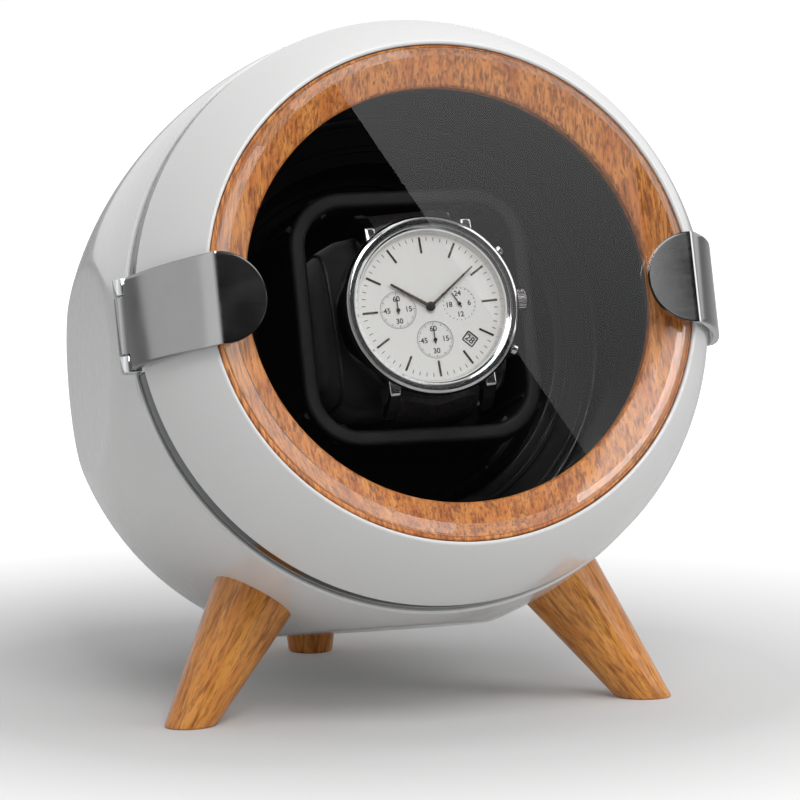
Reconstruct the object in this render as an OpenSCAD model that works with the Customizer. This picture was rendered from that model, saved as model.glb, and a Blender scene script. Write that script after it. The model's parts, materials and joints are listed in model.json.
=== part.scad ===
// Watch winder box: a round-fronted white case on three wooden legs.
// A geared motor turns the cushion holder behind a hinged clear cover.
//
// Lengths are in millimetres.  +Z is up, the round front looks along -Y and leans back.
// The origin is on the surface the legs stand on, under the middle of the object.
// Most pieces are drawn in the face frame: its z axis is the axis of the round front and
// points out of it, y runs up the face, x runs to the right, and z = 0 is the plane of the
// opening's edge.

/* [Case] */
// Radius of the round opening
opening_r = 48; // [47.8:0.1:48.2]
// Width of the wooden ring round the opening
wood_w = 9.2; // [9:0.1:9.3]
// Radius of the case at the metal band
seam_r = 68.6; // [68.4:0.1:68.8]
// Distance from the opening's plane back to the metal band
bezel_depth = 19.5; // [19.3:0.1:19.7]
// Width of the metal band along the axis
band_w = 6; // [5.8:0.1:6.2]
// Distance from the opening's plane to the flat back
case_depth = 136; // [135:0.5:137]
// Wall thickness of the moulded shells
wall = 2.6; // [2.2:0.1:2.8]
// Lean of the face away from upright, in degrees
tilt = 17.8; // [16:0.1:19]
// Height of the middle of the face
face_h = 100; // [99:0.5:102]

/* [Legs] */
// Radius of a leg where it meets the ground
leg_foot_r = 5.3; // [5:0.1:6]
// Half angle of a leg's taper, in degrees
leg_taper = 7.4; // [6:0.1:8]
// Angle of each front leg from straight down, seen along the axis, in degrees
leg_spread = 32.4; // [30:0.1:34]
// Distance of the front legs behind the opening's plane
leg_back = 52.75; // [50:0.25:55]
// Distance from the middle of the face back to the rear leg, along the ground
rear_leg_y = 110; // [108:0.5:111]

/* [Cover] */
// Radius of the clear cover
cover_r = 56.4; // [56:0.1:56.5]
// Height of the cover's outer face in front of the opening's plane
cover_top = 7.2; // [7:0.1:7.4]
// Width of the two metal clips
clip_w = 21; // [20:0.5:21]
// Thickness of the clip metal
clip_t = 1.35; // [1.2:0.05:1.4]

/* [Rotor] */
// Width of the cushion holder across the outside
holder_w = 55; // [54:0.5:56]
// Height of the cushion holder across the outside
holder_h = 57; // [56:0.5:57]
// Depth of the holder's front edge behind the opening's plane
holder_front = 26; // [25.5:0.5:28]
// Teeth on the rotor gear
gear_teeth = 48; // [48]
// Teeth on the motor pinion
pinion_teeth = 12; // [12]

/* [Watch] */
// Radius of the watch case
watch_r = 21; // [21]
// Turn of the watch on its cushion, in degrees
watch_turn = 3.4; // [0:0.1:5]
// Hour hand's angle clockwise from twelve, in degrees
hour_angle = 304.5; // [0:0.5:360]
// Minute hand's angle clockwise from twelve, in degrees
minute_angle = 54; // [0:0.5:360]

/* [Hidden] */

$fn = 96;
arc_fn = 360;             // facets on the case's large arcs
far = 400;                // longer than any cut needs to be

// Colours
white = [0.93, 0.93, 0.92];
black = [0.05, 0.05, 0.055];
dark_grey = [0.2, 0.2, 0.21];
wood = [0.78, 0.47, 0.22];
chrome = [0.72, 0.73, 0.75];
steel = [0.6, 0.61, 0.63];
brass = [0.8, 0.65, 0.32];
clear = [0.85, 0.93, 0.95, 0.3];
leather = [0.09, 0.08, 0.08];
dial_white = [0.93, 0.92, 0.89];
bronze = [0.25, 0.21, 0.17];

// Front bezel: an arc from the lip round the wood to the band
wood_r = opening_r + wood_w;
wood_rise = 3.4;          // how far the wood's outer edge stands in front of its inner edge
bezel_arc_r = 64;
lip_r = wood_r + 0.8;
lip_z = 4;
shelf_top = -3.1;         // the shelf under the wood
shelf_t = 2.4;
shelf_r = 61.5;
spigot_r = 65.4;          // the ring that centres the band and the rear shell
spigot_depth = 30;
band_back = bezel_depth + band_w;

// Rear shell: a long barrel curve, then a shoulder curve to the flat back
barrel_r = 70.8;
barrel_s = 52;            // depth of the barrel's widest place
barrel_arc_r = 225;
shoulder_s = 100;         // depth where the shoulder curve takes over
shoulder_arc_r = 50;
barrel_lean = asin((shoulder_s - barrel_s) / barrel_arc_r);
shoulder_edge_r = barrel_r - barrel_arc_r * (1 - cos(barrel_lean));
shoulder_c = [
    shoulder_edge_r - shoulder_arc_r * cos(barrel_lean),
    -shoulder_s + shoulder_arc_r * sin(barrel_lean)
];
back_hole_r = 31;
panel_r = 33.4;
panel_t = 2.4;

rear_boss_top = 28;       // height of the boss inside the shell that takes the rear leg's bolt

// The four flat facets of the rear shell
facet_slope = 7;
facet_s = 35.5;           // depth where a facet starts
facet_r = 70.4;           // its distance from the axis there

// Inner bowl: a wide tray with a deeper well for the rotor
bowl_r = 52.6;
bowl_wall = 1.8;
bowl_depth = 52;
well_r = 41.8;
well_depth = 67.2;
flange_top = shelf_top - shelf_t;
flange_r = 60;
boss_r = 49.5;            // the four chassis bosses behind the tray
boss_angles = [45, 135, 225, 315];
square_angles = [0, 90, 180, 270];
bowl_screw_r = 56.6;
chassis_z = -79;
chassis_t = 3;
chassis_r = 53.5;

// Rotor and gear train
shaft_r = 3;
disc_z = -66;
disc_t = 2.5;
disc_r = 40.3;
holder_wall = 2.5;
holder_corner = 12;
holder_fixings = [
    [(holder_w - holder_wall) / 2, 0], [-(holder_w - holder_wall) / 2, 0],
    [0, (holder_h - holder_wall) / 2], [0, -(holder_h - holder_wall) / 2]
];
gear_module = 1;
gear_z = -75;
gear_t = 4;
gear_r = gear_teeth * gear_module / 2;
pinion_r = pinion_teeth * gear_module / 2;
axle_gap = gear_r + pinion_r;
motor_r = 12;
motor_len = 30;
motor_shaft_r = 1.5;

// Hinge and latch of the cover
cover_back = 3.9;
hinge_x = 70.2;
hinge_s = 22.5;
knuckle_r = 2;
hinge_pin_r = 0.8;
knuckle_gap = 6.7;        // half length of the clip's knuckle
notch_half = 11.2;
clip_gap = 0.6;           // space between the clips and the bezel
tongue_x = 56;
magnet_s = 13;

// Cushion and strap, in the plane across the face
cushion_w = 46.8;
cushion_h = 44;
cushion_front = -24;
cushion_back = -56;
cushion_corner = 10;
strap_w = 20;
strap_t = 2.1;
strap_gap = 0.3;
strap_front = -16.6;
strap_corner = 11.5;
lug_y = 22.2;
lug_z = -23.6;
bar_r = 0.75;

// Watch: heights along the axis
case_top = -14.6;
case_bottom = -22.5;
bezel_top = -13.2;
crystal_top = -12.8;
dial_z = -16.4;
dial_t = 0.5;
dial_r = 17.9;
subdial_left = [-7.7, 0];
subdial_low = [0, -7.7];
subdial_right = [7.1, 0];
day_angle = 332;          // the small 24-hour hand, clockwise from twelve
pusher_angle = 31;
button_z = -18.6;

// Controls on the back
knob_at = [-15, 9];
rocker_at = [15, 9];
jack_at = [0, -17];
panel_screw_r = 26;
panel_back = -case_depth - panel_t + 1.2;
rocker_z = 2.2;           // height of the rocker's pin in front of the panel's back
rocker_pin_r = 0.8;
rocker_tip = 8;           // it rests tipped to one side, in degrees

// The bounding box is centred on the origin along Y
stand_y = -59.42;

leg_len = (face_h - leg_back * sin(tilt)) / (cos(tilt) * cos(leg_spread));

// ---------- helpers ----------

// Moves children from the face frame to where the face is
module face_frame() {
    translate([0, stand_y, face_h]) rotate([90 - tilt, 0, 0]) children();
}

// Moves children into the watch's own turned frame
module watch_frame() {
    face_frame() rotate([0, 0, watch_turn]) children();
}

// Centre of the arc of radius r through p and q, on the side of the axis
function arc_centre(p, q, r) =
    let (d = q - p, len = norm(d), n = [d[1], -d[0]] / len)
    (p + q) / 2 + n * sqrt(r * r - len * len / 4);

bezel_c = arc_centre([lip_r, lip_z], [seam_r, -bezel_depth], bezel_arc_r);

// A ring of rectangular section
module ring(r_out, r_in, z0, z1) {
    rotate_extrude() translate([r_in, z0]) square([r_out - r_in, z1 - z0]);
}

// A cylinder from z0 to z1 at a place in the face frame
module post(at, r, z0, z1) {
    translate([at[0], at[1], z0]) cylinder(h = z1 - z0, r = r);
}

// A rectangle with round corners, centred
module rounded_rect(size, r) {
    square([size[0] - 2 * r, size[1]], center = true);
    square([size[0], size[1] - 2 * r], center = true);
    for (x = [-1, 1], y = [-1, 1]) {
        translate([x * (size[0] / 2 - r), y * (size[1] / 2 - r)]) circle(r);
    }
}

// Extrudes a profile drawn in the face's y-z plane along x, centred
module across(width) {
    rotate([90, 0, 90]) translate([0, 0, -width / 2]) linear_extrude(width) children();
}

// Extrudes a profile drawn in the face's x-z plane along y, centred
module along(width) {
    rotate([90, 0, 0]) translate([0, 0, -width / 2]) linear_extrude(width) children();
}

// Places children at each chassis angle, at a radius
module at_angles(angles, r) {
    for (a = angles) rotate([0, 0, a]) translate([r, 0, 0]) children();
}

// A pan-head screw pointing along +z, its head under z = 0
module screw(r, len) {
    difference() {
        union() {
            cylinder(h = len, r = r);
            translate([0, 0, -1.2]) cylinder(h = 1.2, r = r * 1.9);
        }
        translate([-0.3, -r * 1.2, -1.5]) cube([0.6, r * 2.4, 0.9]);
        translate([-r * 1.2, -0.3, -1.5]) cube([r * 2.4, 0.6, 0.9]);
    }
}

// One point of an involute of a circle of radius rb, at roll angle a
function involute(rb, a) = rb * [cos(a) + a * PI / 180 * sin(a), sin(a) - a * PI / 180 * cos(a)];

// Turns a 2D point by an angle
function turned(p, a) = [p[0] * cos(a) - p[1] * sin(a), p[0] * sin(a) + p[1] * cos(a)];

// Outline of an involute spur gear with a tooth centred on the x axis
function gear_points(teeth, m, play) =
    let (
        rp = teeth * m / 2,
        rb = rp * cos(20),
        root = rp - 1.2 * m,
        tip = rp + 0.95 * m,
        steps = 5,
        roll_tip = sqrt(tip * tip / (rb * rb) - 1) * 180 / PI,
        half = 90 / teeth + tan(20) * 180 / PI - 20 - play / rp * 90 / PI,
        flank = [for (i = [0:steps]) turned(involute(rb, roll_tip * i / steps), -half)],
        foot = root < rb ? turned([root, 0], -half) : flank[0],
        low = root < rb ? concat([foot], flank) : flank,
        high = [for (i = [len(low) - 1:-1:0]) [low[i][0], -low[i][1]]],
        tooth = concat(low, high)
    )
    [for (k = [0:teeth - 1]) for (p = tooth) turned(p, k * 360 / teeth)];

// ---------- the case ----------

module bezel_section() {
    intersection() {
        difference() {
            translate(bezel_c) circle(bezel_arc_r, $fn = arc_fn);
            translate(bezel_c) circle(bezel_arc_r - wall, $fn = arc_fn);
        }
        translate([wood_r + 0.2, -bezel_depth]) square([30, bezel_depth + lip_z]);
    }
    translate([wood_r + 0.75, lip_z - 0.45]) circle(0.5);
    translate([wood_r + 0.2, flange_top]) square([1.8, lip_z - 2 - flange_top]);
    translate([opening_r + 1.6, flange_top]) square([shelf_r - opening_r - 1.6, shelf_t]);
    translate([62.8, -spigot_depth]) square([spigot_r - 62.8, spigot_depth - 12]);
    translate([62.8, -bezel_depth]) square([3.2, 2.4]);
}

module front_bezel() {
    color(white) face_frame() difference() {
        union() {
            rotate_extrude($fn = 180) bezel_section();
            translate([61.2, 0, -magnet_s]) rotate([0, 90, 0]) cylinder(h = 3.4, r = 4.4);
        }
        at_angles(square_angles, bowl_screw_r) post([0, 0], 1, flange_top - 1, shelf_top - 0.6);
        translate([62.4, 0, -magnet_s]) rotate([0, 90, 0]) cylinder(h = 10, r = 3.05);
    }
}

module wood_ring() {
    color(wood) face_frame() rotate_extrude($fn = 180) polygon([
        [opening_r, -0.4], [opening_r + 0.5, 0.15], [wood_r, wood_rise],
        [wood_r, -3], [opening_r, -3]
    ]);
}

module trim_ring() {
    inner = spigot_r + 0.2;
    color(chrome) face_frame() difference() {
        rotate_extrude($fn = 180) {
            translate([inner, -band_back + 0.05]) square([seam_r - 0.2 - inner, band_w - 0.1]);
        }
        translate([-90, -notch_half, -band_back - 1]) cube([30, 2 * notch_half, band_w + 2]);
    }
}

// Outline of the rear shell, moved inwards by d and open by so much at its front
module shell_section(d, front) {
    intersection() {
        translate([barrel_r - barrel_arc_r, -barrel_s]) circle(barrel_arc_r - d, $fn = 4 * arc_fn);
        translate([0, -shoulder_s]) square([90, shoulder_s - band_back + front]);
    }
    intersection() {
        union() {
            translate(shoulder_c) circle(shoulder_arc_r - d, $fn = arc_fn);
            translate([0, -case_depth]) square([shoulder_c[0], shoulder_arc_r]);
        }
        translate([0, -case_depth + d]) square([90, case_depth - d - shoulder_s]);
    }
}

// The material outside the four facets, each moved inwards by d
module facet_cuts(d) {
    for (k = [0:3]) {
        rotate([0, 0, 90 * k]) translate([facet_r, 0, -facet_s]) rotate([0, facet_slope, 0]) {
            translate([-d, -far / 2, -far / 2]) cube(far);
        }
    }
}

// The rear shell's outside as one solid, grown by a gap where it cuts other pieces
module shell_body(gap) {
    difference() {
        rotate_extrude($fn = 180) shell_section(-gap, 0);
        facet_cuts(-gap);
    }
}

module rear_shell() {
    color(white) difference() {
        union() {
            face_frame() difference() {
                shell_body(0);
                difference() {
                    rotate_extrude($fn = 180) shell_section(wall, 1);
                    facet_cuts(wall);
                }
                post([0, 0], back_hole_r, -case_depth - 1, -case_depth + 2 * wall);
                post([0, 0], panel_r + 0.2, -case_depth - 1, -case_depth + 1.2);
            }
            intersection() {
                face_frame() shell_body(0);
                rear_leg_frame() cylinder(h = rear_boss_top, r = 7.5);
            }
        }
        for (side = [-1, 1]) front_leg_frame(side) translate([0, 0, 60]) cylinder(h = 12, r = 2.15);
        rear_leg_frame() cylinder(h = 40, r = 2.15);
    }
}

// Opening's throat, tray, well and bosses for the chassis
module inner_bowl() {
    tray_back = -bowl_depth - bowl_wall;
    well_back = -well_depth - bowl_wall;
    color(black) face_frame() difference() {
        union() {
            rotate_extrude($fn = 180) {
                translate([opening_r + 0.6, flange_top - 2]) square([flange_r - opening_r - 0.6, 1.95]);
                translate([bowl_r, tray_back]) square([bowl_wall, flange_top - 0.05 - tray_back]);
                translate([well_r, tray_back]) square([bowl_r - well_r + 0.2, bowl_wall]);
                translate([well_r + 2.6, -bowl_depth - 0.2]) square([1.4, 1.2]);
                translate([well_r + 8, -bowl_depth - 0.2]) square([1, 0.8]);
                translate([well_r, well_back]) square([bowl_wall, -bowl_depth - well_back]);
                translate([5, well_back]) square([well_r - 4.8, bowl_wall]);
            }
            at_angles(boss_angles, boss_r) post([0, 0], 3.4, chassis_z, -bowl_depth - 0.5);
        }
        at_angles(boss_angles, boss_r) post([0, 0], 1.2, chassis_z - 1, tray_back - 6);
        at_angles(square_angles, bowl_screw_r) post([0, 0], 1.2, flange_top - 3, flange_top + 1);
    }
}

module bowl_screws() {
    color(steel) face_frame() at_angles(square_angles, bowl_screw_r) {
        translate([0, 0, flange_top - 2.05]) screw(0.95, 3.7);
    }
}

module chassis_plate() {
    color(dark_grey) face_frame() difference() {
        post([0, 0], chassis_r, chassis_z - chassis_t, chassis_z - 0.02);
        post([0, 0], 6, chassis_z - 10, chassis_z + 1);
        post([0, -axle_gap], 4.2, chassis_z - 10, chassis_z + 1);
        at_angles(boss_angles, boss_r) post([0, 0], 1.6, chassis_z - 10, chassis_z + 1);
        at_angles(boss_angles, panel_screw_r) post([0, 0], 1.6, chassis_z - 10, chassis_z + 1);
        for (x = [-8, 8]) post([x, -axle_gap], 1.1, chassis_z - 10, chassis_z + 1);
        for (x = [-40, 40]) post([x, 0], 6, chassis_z - 10, chassis_z + 1);
        post([0, 38], 8, chassis_z - 10, chassis_z + 1);
    }
}

module chassis_screws() {
    color(steel) face_frame() at_angles(boss_angles, boss_r) {
        translate([0, 0, chassis_z - chassis_t - 0.05]) screw(1.15, 8);
    }
}

// Long pillars that draw the rear shell against the bezel through the back panel
module tie_pillars() {
    color(steel) face_frame() at_angles(boss_angles, panel_screw_r) difference() {
        union() {
            post([0, 0], 3, -case_depth + 1.25, chassis_z - chassis_t - 0.02);
            post([0, 0], 1.55, chassis_z - chassis_t - 0.1, chassis_z + 1.5);
        }
        post([0, 0], 1.25, -case_depth - 1, -case_depth + 12);
    }
}

module back_panel() {
    color(dark_grey) face_frame() difference() {
        union() {
            post([0, 0], panel_r, panel_back, panel_back + panel_t - 0.02);
            ring(back_hole_r - 0.3, back_hole_r - 1.5, -case_depth, -case_depth + 4);
        }
        at_angles(boss_angles, panel_screw_r) post([0, 0], 1.6, -case_depth - 5, -case_depth + 5);
        post(knob_at, 3.15, -case_depth - 5, -case_depth + 5);
        post(jack_at, 4.3, -case_depth - 5, -case_depth + 5);
        translate([rocker_at[0] - 6.6, rocker_at[1] - 4.6, -case_depth - 5]) cube([13.2, 9.2, 10]);
        for (k = [-3:3]) {
            translate([k * 4 - 0.8, 19, -case_depth - 5]) cube([1.6, 7, 10]);
        }
    }
}

module panel_screws() {
    color(steel) face_frame() at_angles(boss_angles, panel_screw_r) {
        translate([0, 0, panel_back - 0.05]) screw(1.2, 9);
    }
}

// Gearbox and motor in one can, with a pilot boss in the plate
module gear_motor() {
    top = chassis_z - chassis_t - 0.05;
    color(steel) face_frame() translate([0, -axle_gap, 0]) difference() {
        union() {
            post([0, 0], motor_r, top - motor_len, top);
            post([0, 0], 4, top - 0.1, chassis_z - 0.6);
            post([0, 0], 8, top - motor_len - 4, top - motor_len + 0.1);
        }
        post([0, 0], motor_shaft_r + 0.04, top - 8, chassis_z);
        for (x = [-8, 8]) post([x, 0], 1, top - 5, chassis_z);
    }
}

module motor_shaft() {
    color(steel) face_frame() post([0, -axle_gap], motor_shaft_r, chassis_z - 10, gear_z + gear_t + 0.8);
}

module motor_screws() {
    color(steel) face_frame() for (x = [-8, 8]) {
        translate([x, -axle_gap, chassis_z + 0.05]) mirror([0, 0, 1]) screw(0.95, 6.5);
    }
}

module rotor_bush() {
    color(brass) face_frame() {
        ring(5.95, shaft_r + 0.04, chassis_z - 8, chassis_z + 0.1);
        ring(7.5, shaft_r + 0.04, chassis_z, chassis_z + 1.2);
    }
}

module control_board() {
    color([0.1, 0.35, 0.2]) face_frame() translate([0, 0, panel_back + 14.2]) {
        difference() {
            translate([-24, -3, 0]) cube([48, 24, 1.6]);
            post(knob_at, 3.3, -1, 5);
            for (a = [45, 135]) rotate([0, 0, a]) post([panel_screw_r, 0], 4, -1, 5);
        }
        translate([-6, 4, 1.5]) cube([9, 9, 1.6]);
        translate([6, 10, 1.5]) cube([5, 6, 1.2]);
        for (k = [0:2]) translate([-3 + 4 * k, 0, 1.5]) cylinder(h = 5, r = 1.6);
        difference() {
            post(knob_at, 7, -8, 0.1);
            post(knob_at, 3.1, -9, -1.5);
        }
    }
}

// Frame that the rocker tips in, snapped into the panel
module switch_housing() {
    color(black) face_frame() translate([rocker_at[0], rocker_at[1], panel_back]) difference() {
        union() {
            translate([-6.5, -4.5, -1]) cube([13, 9, 9.5]);
            translate([-8, -6, -1.05]) cube([16, 12, 1]);
        }
        translate([-5.4, -3.4, -2]) cube([10.8, 6.8, 8]);
        translate([0, 0, rocker_z]) rotate([90, 0, 0]) {
            cylinder(h = 8.2, r = rocker_pin_r + 0.04, center = true);
        }
    }
}

module dc_jack() {
    color(black) face_frame() translate([jack_at[0], jack_at[1], panel_back]) {
        difference() {
            union() {
                post([0, 0], 4.2, -1.8, 12);
                post([0, 0], 5.6, -2, -0.05);
                post([0, 0], 5.6, panel_t + 0.05, panel_t + 2);
            }
            post([0, 0], 2.75, -5, 9);
        }
        post([0, 0], 0.95, -1.2, 9.5);
    }
}

module latch_magnet() {
    color(steel) face_frame() translate([62.45, 0, -magnet_s]) rotate([0, 90, 0]) {
        cylinder(h = 3, r = 3);
    }
}

module hinge_bracket() {
    color(chrome) face_frame() difference() {
        union() {
            translate([-67.6, -11, -band_back + 0.15]) cube([1.9, 22, band_w - 0.3]);
            for (side = [-1, 1]) {
                translate([-hinge_x, side * 8.9, -hinge_s]) rotate([90, 0, 0]) {
                    cylinder(h = 3.8, r = knuckle_r, center = true);
                }
                translate([-hinge_x, side * 8.9 - 1.9, -hinge_s - knuckle_r]) {
                    cube([3, 3.8, 2 * knuckle_r]);
                }
            }
        }
        translate([-hinge_x, 0, -hinge_s]) rotate([90, 0, 0]) {
            cylinder(h = 40, r = hinge_pin_r + 0.02, center = true);
        }
    }
}

module hinge_pin() {
    color(steel) face_frame() translate([-hinge_x, 0, -hinge_s]) rotate([90, 0, 0]) {
        cylinder(h = 21.4, r = hinge_pin_r, center = true);
    }
}

// ---------- legs ----------

function leg_r_at(from_foot) = leg_foot_r + from_foot * tan(leg_taper);

// Places children so that +z runs from the axis of the case out along a front leg
module front_leg_frame(side) {
    face_frame() translate([0, 0, -leg_back]) rotate([0, 0, side * leg_spread]) {
        rotate([90, 0, 0]) children();
    }
}

// Places children on the ground under the rear leg
module rear_leg_frame() {
    translate([0, stand_y + rear_leg_y, 0]) children();
}

module front_leg(side) {
    overrun = 12;
    difference() {
        front_leg_frame(side) {
            translate([0, 0, 60]) {
                cylinder(
                    h = leg_len - 60 + overrun,
                    r1 = leg_r_at(leg_len - 60),
                    r2 = leg_r_at(-overrun)
                );
            }
        }
        face_frame() shell_body(0.05);
        translate([-far / 2, -far / 2, -far]) cube(far);
        front_leg_frame(side) translate([0, 0, 60]) cylinder(h = 28.5, r = 2.05);
    }
}

module leg_front_left() {
    color(wood) front_leg(-1);
}

module leg_front_right() {
    color(wood) front_leg(1);
}

module leg_rear() {
    color(wood) difference() {
        rear_leg_frame() cylinder(h = 30, r1 = leg_foot_r, r2 = leg_r_at(30));
        face_frame() shell_body(0.05);
        rear_leg_frame() translate([0, 0, 8]) cylinder(h = 30, r = 2.05);
    }
}

// A bolt along +z from z = 0, with a nut and washer at its start
module leg_bolt(len) {
    cylinder(h = len, r = 2);
    cylinder(h = 3.2, r = 3.9, $fn = 6);
    translate([0, 0, 3.15]) cylinder(h = 0.8, r = 4.6);
}

module leg_bolts() {
    color(steel) {
        for (side = [-1, 1]) front_leg_frame(side) translate([0, 0, 63.9]) leg_bolt(23.5);
        rear_leg_frame() translate([0, 0, rear_boss_top + 4]) mirror([0, 0, 1]) leg_bolt(23.5);
    }
}

// ---------- the cover, which swings on its left clip ----------

module acrylic_cover() {
    color(clear) face_frame() {
        rotate_extrude($fn = 180) polygon([
            [0, cover_back], [cover_r - 0.3, cover_back], [cover_r, cover_back + 0.3],
            [cover_r, cover_back + 0.6], [cover_r - 2.5, cover_top], [0, cover_top]
        ]);
        for (side = [-1, 1]) {
            translate([side * 52.9 - 3, -9.4, cover_back + 0.3]) {
                cube([6, 18.8, cover_top - cover_back - 0.3]);
            }
        }
    }
}

// Side plate and half-round tongue of a clip, on the +x side, down to z = -back
module clip_plate(back) {
    arc_in = bezel_arc_r + clip_gap;
    along(clip_w) intersection() {
        difference() {
            translate(bezel_c) circle(arc_in + clip_t, $fn = arc_fn);
            translate(bezel_c) circle(arc_in, $fn = arc_fn);
        }
        translate([40, -back]) square([40, cover_top + clip_t + back]);
    }
    translate([0, 0, cover_top + 0.02]) linear_extrude(clip_t - 0.02) {
        intersection() {
            translate([tongue_x, 0]) circle(clip_w / 2);
            translate([30, -clip_w / 2]) square([tongue_x - 29.4, clip_w]);
        }
    }
}

module hinge_clip() {
    color(chrome) face_frame() difference() {
        union() {
            difference() {
                mirror([1, 0, 0]) clip_plate(21.6);
                for (side = [-1, 1]) {
                    translate([-80, side * (knuckle_gap + 10) - 10, -30]) cube([40, 20, 10.6]);
                }
            }
            translate([-hinge_x, 0, -hinge_s]) rotate([90, 0, 0]) {
                cylinder(h = 2 * knuckle_gap, r = knuckle_r, center = true);
            }
        }
        translate([-hinge_x, 0, -hinge_s]) rotate([90, 0, 0]) {
            cylinder(h = 40, r = hinge_pin_r + 0.06, center = true);
        }
    }
}

// The clip on the right, which the magnet holds, with a lip for a finger
module latch_clip() {
    color(chrome) face_frame() {
        clip_plate(20.5);
        translate([69.5, -clip_w / 2, -24.5]) cube([clip_t, clip_w, 4.3]);
        translate([69.5, -clip_w / 2, -24.5]) cube([hinge_x + knuckle_r - 69.5, clip_w, 1]);
    }
}

// ---------- the rotor ----------

module rotor_disc() {
    color(black) face_frame() difference() {
        union() {
            post([0, 0], disc_r, disc_z, disc_z + disc_t);
            ring(disc_r, disc_r - 2, disc_z, disc_z + 5);
        }
        post([0, 0], shaft_r + 0.01, disc_z - 1, disc_z + disc_t + 1);
        for (at = holder_fixings) post(at, 1, disc_z - 1, disc_z + disc_t + 1);
    }
}

module holder_frame() {
    floor_z = disc_z + disc_t + 0.02;
    inside = [holder_w - 2 * holder_wall, holder_h - 2 * holder_wall];
    color(black) face_frame() difference() {
        union() {
            translate([0, 0, floor_z]) linear_extrude(-holder_front - floor_z) {
                rounded_rect([holder_w, holder_h], holder_corner);
            }
            translate([0, 0, -holder_front - 2.2]) linear_extrude(2.2) {
                rounded_rect([holder_w + 2.4, holder_h + 2.4], holder_corner + 1.2);
            }
            for (a = [-45, 45, 135, 225], d = [-7, 7]) rotate([0, 0, a + d]) {
                translate([31, -0.8, floor_z]) cube([5, 1.6, -holder_front - 2.1 - floor_z]);
            }
        }
        translate([0, 0, floor_z - 1]) linear_extrude(far) {
            rounded_rect(inside, holder_corner - holder_wall);
        }
        for (at = holder_fixings) post(at, 0.85, floor_z - 1, floor_z + 7);
    }
}

module holder_screws() {
    color(steel) face_frame() for (at = holder_fixings) post(at, 0.8, disc_z + 0.5, disc_z + 9);
}

module rotor_shaft() {
    color(steel) face_frame() difference() {
        post([0, 0], shaft_r, chassis_z - 11, disc_z + disc_t);
        ring(shaft_r + 1, shaft_r - 0.5, chassis_z - 9.6, chassis_z - 8.6);
    }
}

module drive_gear() {
    color(dial_white) face_frame() difference() {
        union() {
            translate([0, 0, gear_z]) linear_extrude(gear_t) {
                polygon(gear_points(gear_teeth, gear_module, 0.12));
            }
            ring(7, shaft_r, gear_z, gear_z + gear_t + 1.4);
        }
        post([0, 0], shaft_r + 0.01, gear_z - 1, gear_z + gear_t + 5);
        at_angles([0, 60, 120, 180, 240, 300], 14.5) post([0, 0], 4.5, gear_z - 1, gear_z + gear_t + 1);
    }
}

module shaft_clip() {
    color(steel) face_frame() difference() {
        ring(5, shaft_r - 0.48, chassis_z - 9.5, chassis_z - 8.7);
        translate([-1.6, -8, chassis_z - 12]) cube([3.2, 8, 6]);
    }
}

module motor_pinion() {
    color(brass) face_frame() translate([0, -axle_gap, 0]) rotate([0, 0, 90 + 180 / pinion_teeth]) {
        difference() {
            translate([0, 0, gear_z - 0.6]) linear_extrude(gear_t + 1) {
                polygon(gear_points(pinion_teeth, gear_module, 0.12));
            }
            post([0, 0], motor_shaft_r + 0.01, gear_z - 2, gear_z + gear_t + 3);
        }
    }
}

// ---------- cushion and strap ----------

// Round-cornered outline in the y-z plane, from back to front
module loop_outline(width, back, front, corner) {
    translate([0, (front + back) / 2]) rounded_rect([width, front - back], corner);
}

module cushion() {
    color(leather) watch_frame() intersection() {
        across(cushion_w) loop_outline(cushion_h, cushion_back, cushion_front, cushion_corner);
        translate([0, 0, cushion_back - 2]) linear_extrude(40) {
            rounded_rect([cushion_w, cushion_h + 1], 6);
        }
    }
}

// The half of the strap above the watch: round the cushion's back and up to the lugs
module strap_half() {
    inner = cushion_h + 2 * strap_gap;
    back = cushion_back - strap_gap;
    difference() {
        across(strap_w) difference() {
            loop_outline(inner + 2 * strap_t, back - strap_t, strap_front, strap_corner);
            loop_outline(inner, back, strap_front - strap_t, strap_corner - strap_t);
        }
        post([0, 0], watch_r + 0.1, cushion_back + cushion_corner, 0);
        translate([-far / 2, 0.15 - far, -far / 2]) cube(far);
        translate([0, lug_y, lug_z]) rotate([0, 90, 0]) {
            cylinder(h = 40, r = bar_r + 0.06, center = true);
        }
    }
}

module strap_upper() {
    color(leather) watch_frame() strap_half();
}

module strap_lower() {
    color(leather) watch_frame() mirror([0, 1, 0]) strap_half();
}

module strap_buckle() {
    outer = cushion_back - strap_gap - strap_t - 0.1;
    color(chrome) watch_frame() {
        difference() {
            translate([-12, -6, outer - 1.7]) cube([24, 11, 1.7]);
            translate([-10.4, -4.4, outer - 3]) cube([20.8, 7.6, 4]);
        }
        translate([-0.8, -5, outer - 1.6]) cube([1.6, 9, 1.2]);
    }
}

module spring_bars() {
    color(steel) watch_frame() for (side = [-1, 1]) {
        translate([0, side * lug_y, lug_z]) rotate([0, 90, 0]) {
            cylinder(h = strap_w + 2.2, r = bar_r, center = true);
        }
    }
}

// ---------- the watch ----------

module lug_outline() {
    polygon([
        [14, case_top - 0.4], [19.4, case_top - 0.6], [22.4, -18.4], [23.9, -21.6],
        [24.1, -24.6], [21.4, -24.9], [19.6, -23.2], [14, case_bottom + 0.2]
    ]);
}

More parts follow.
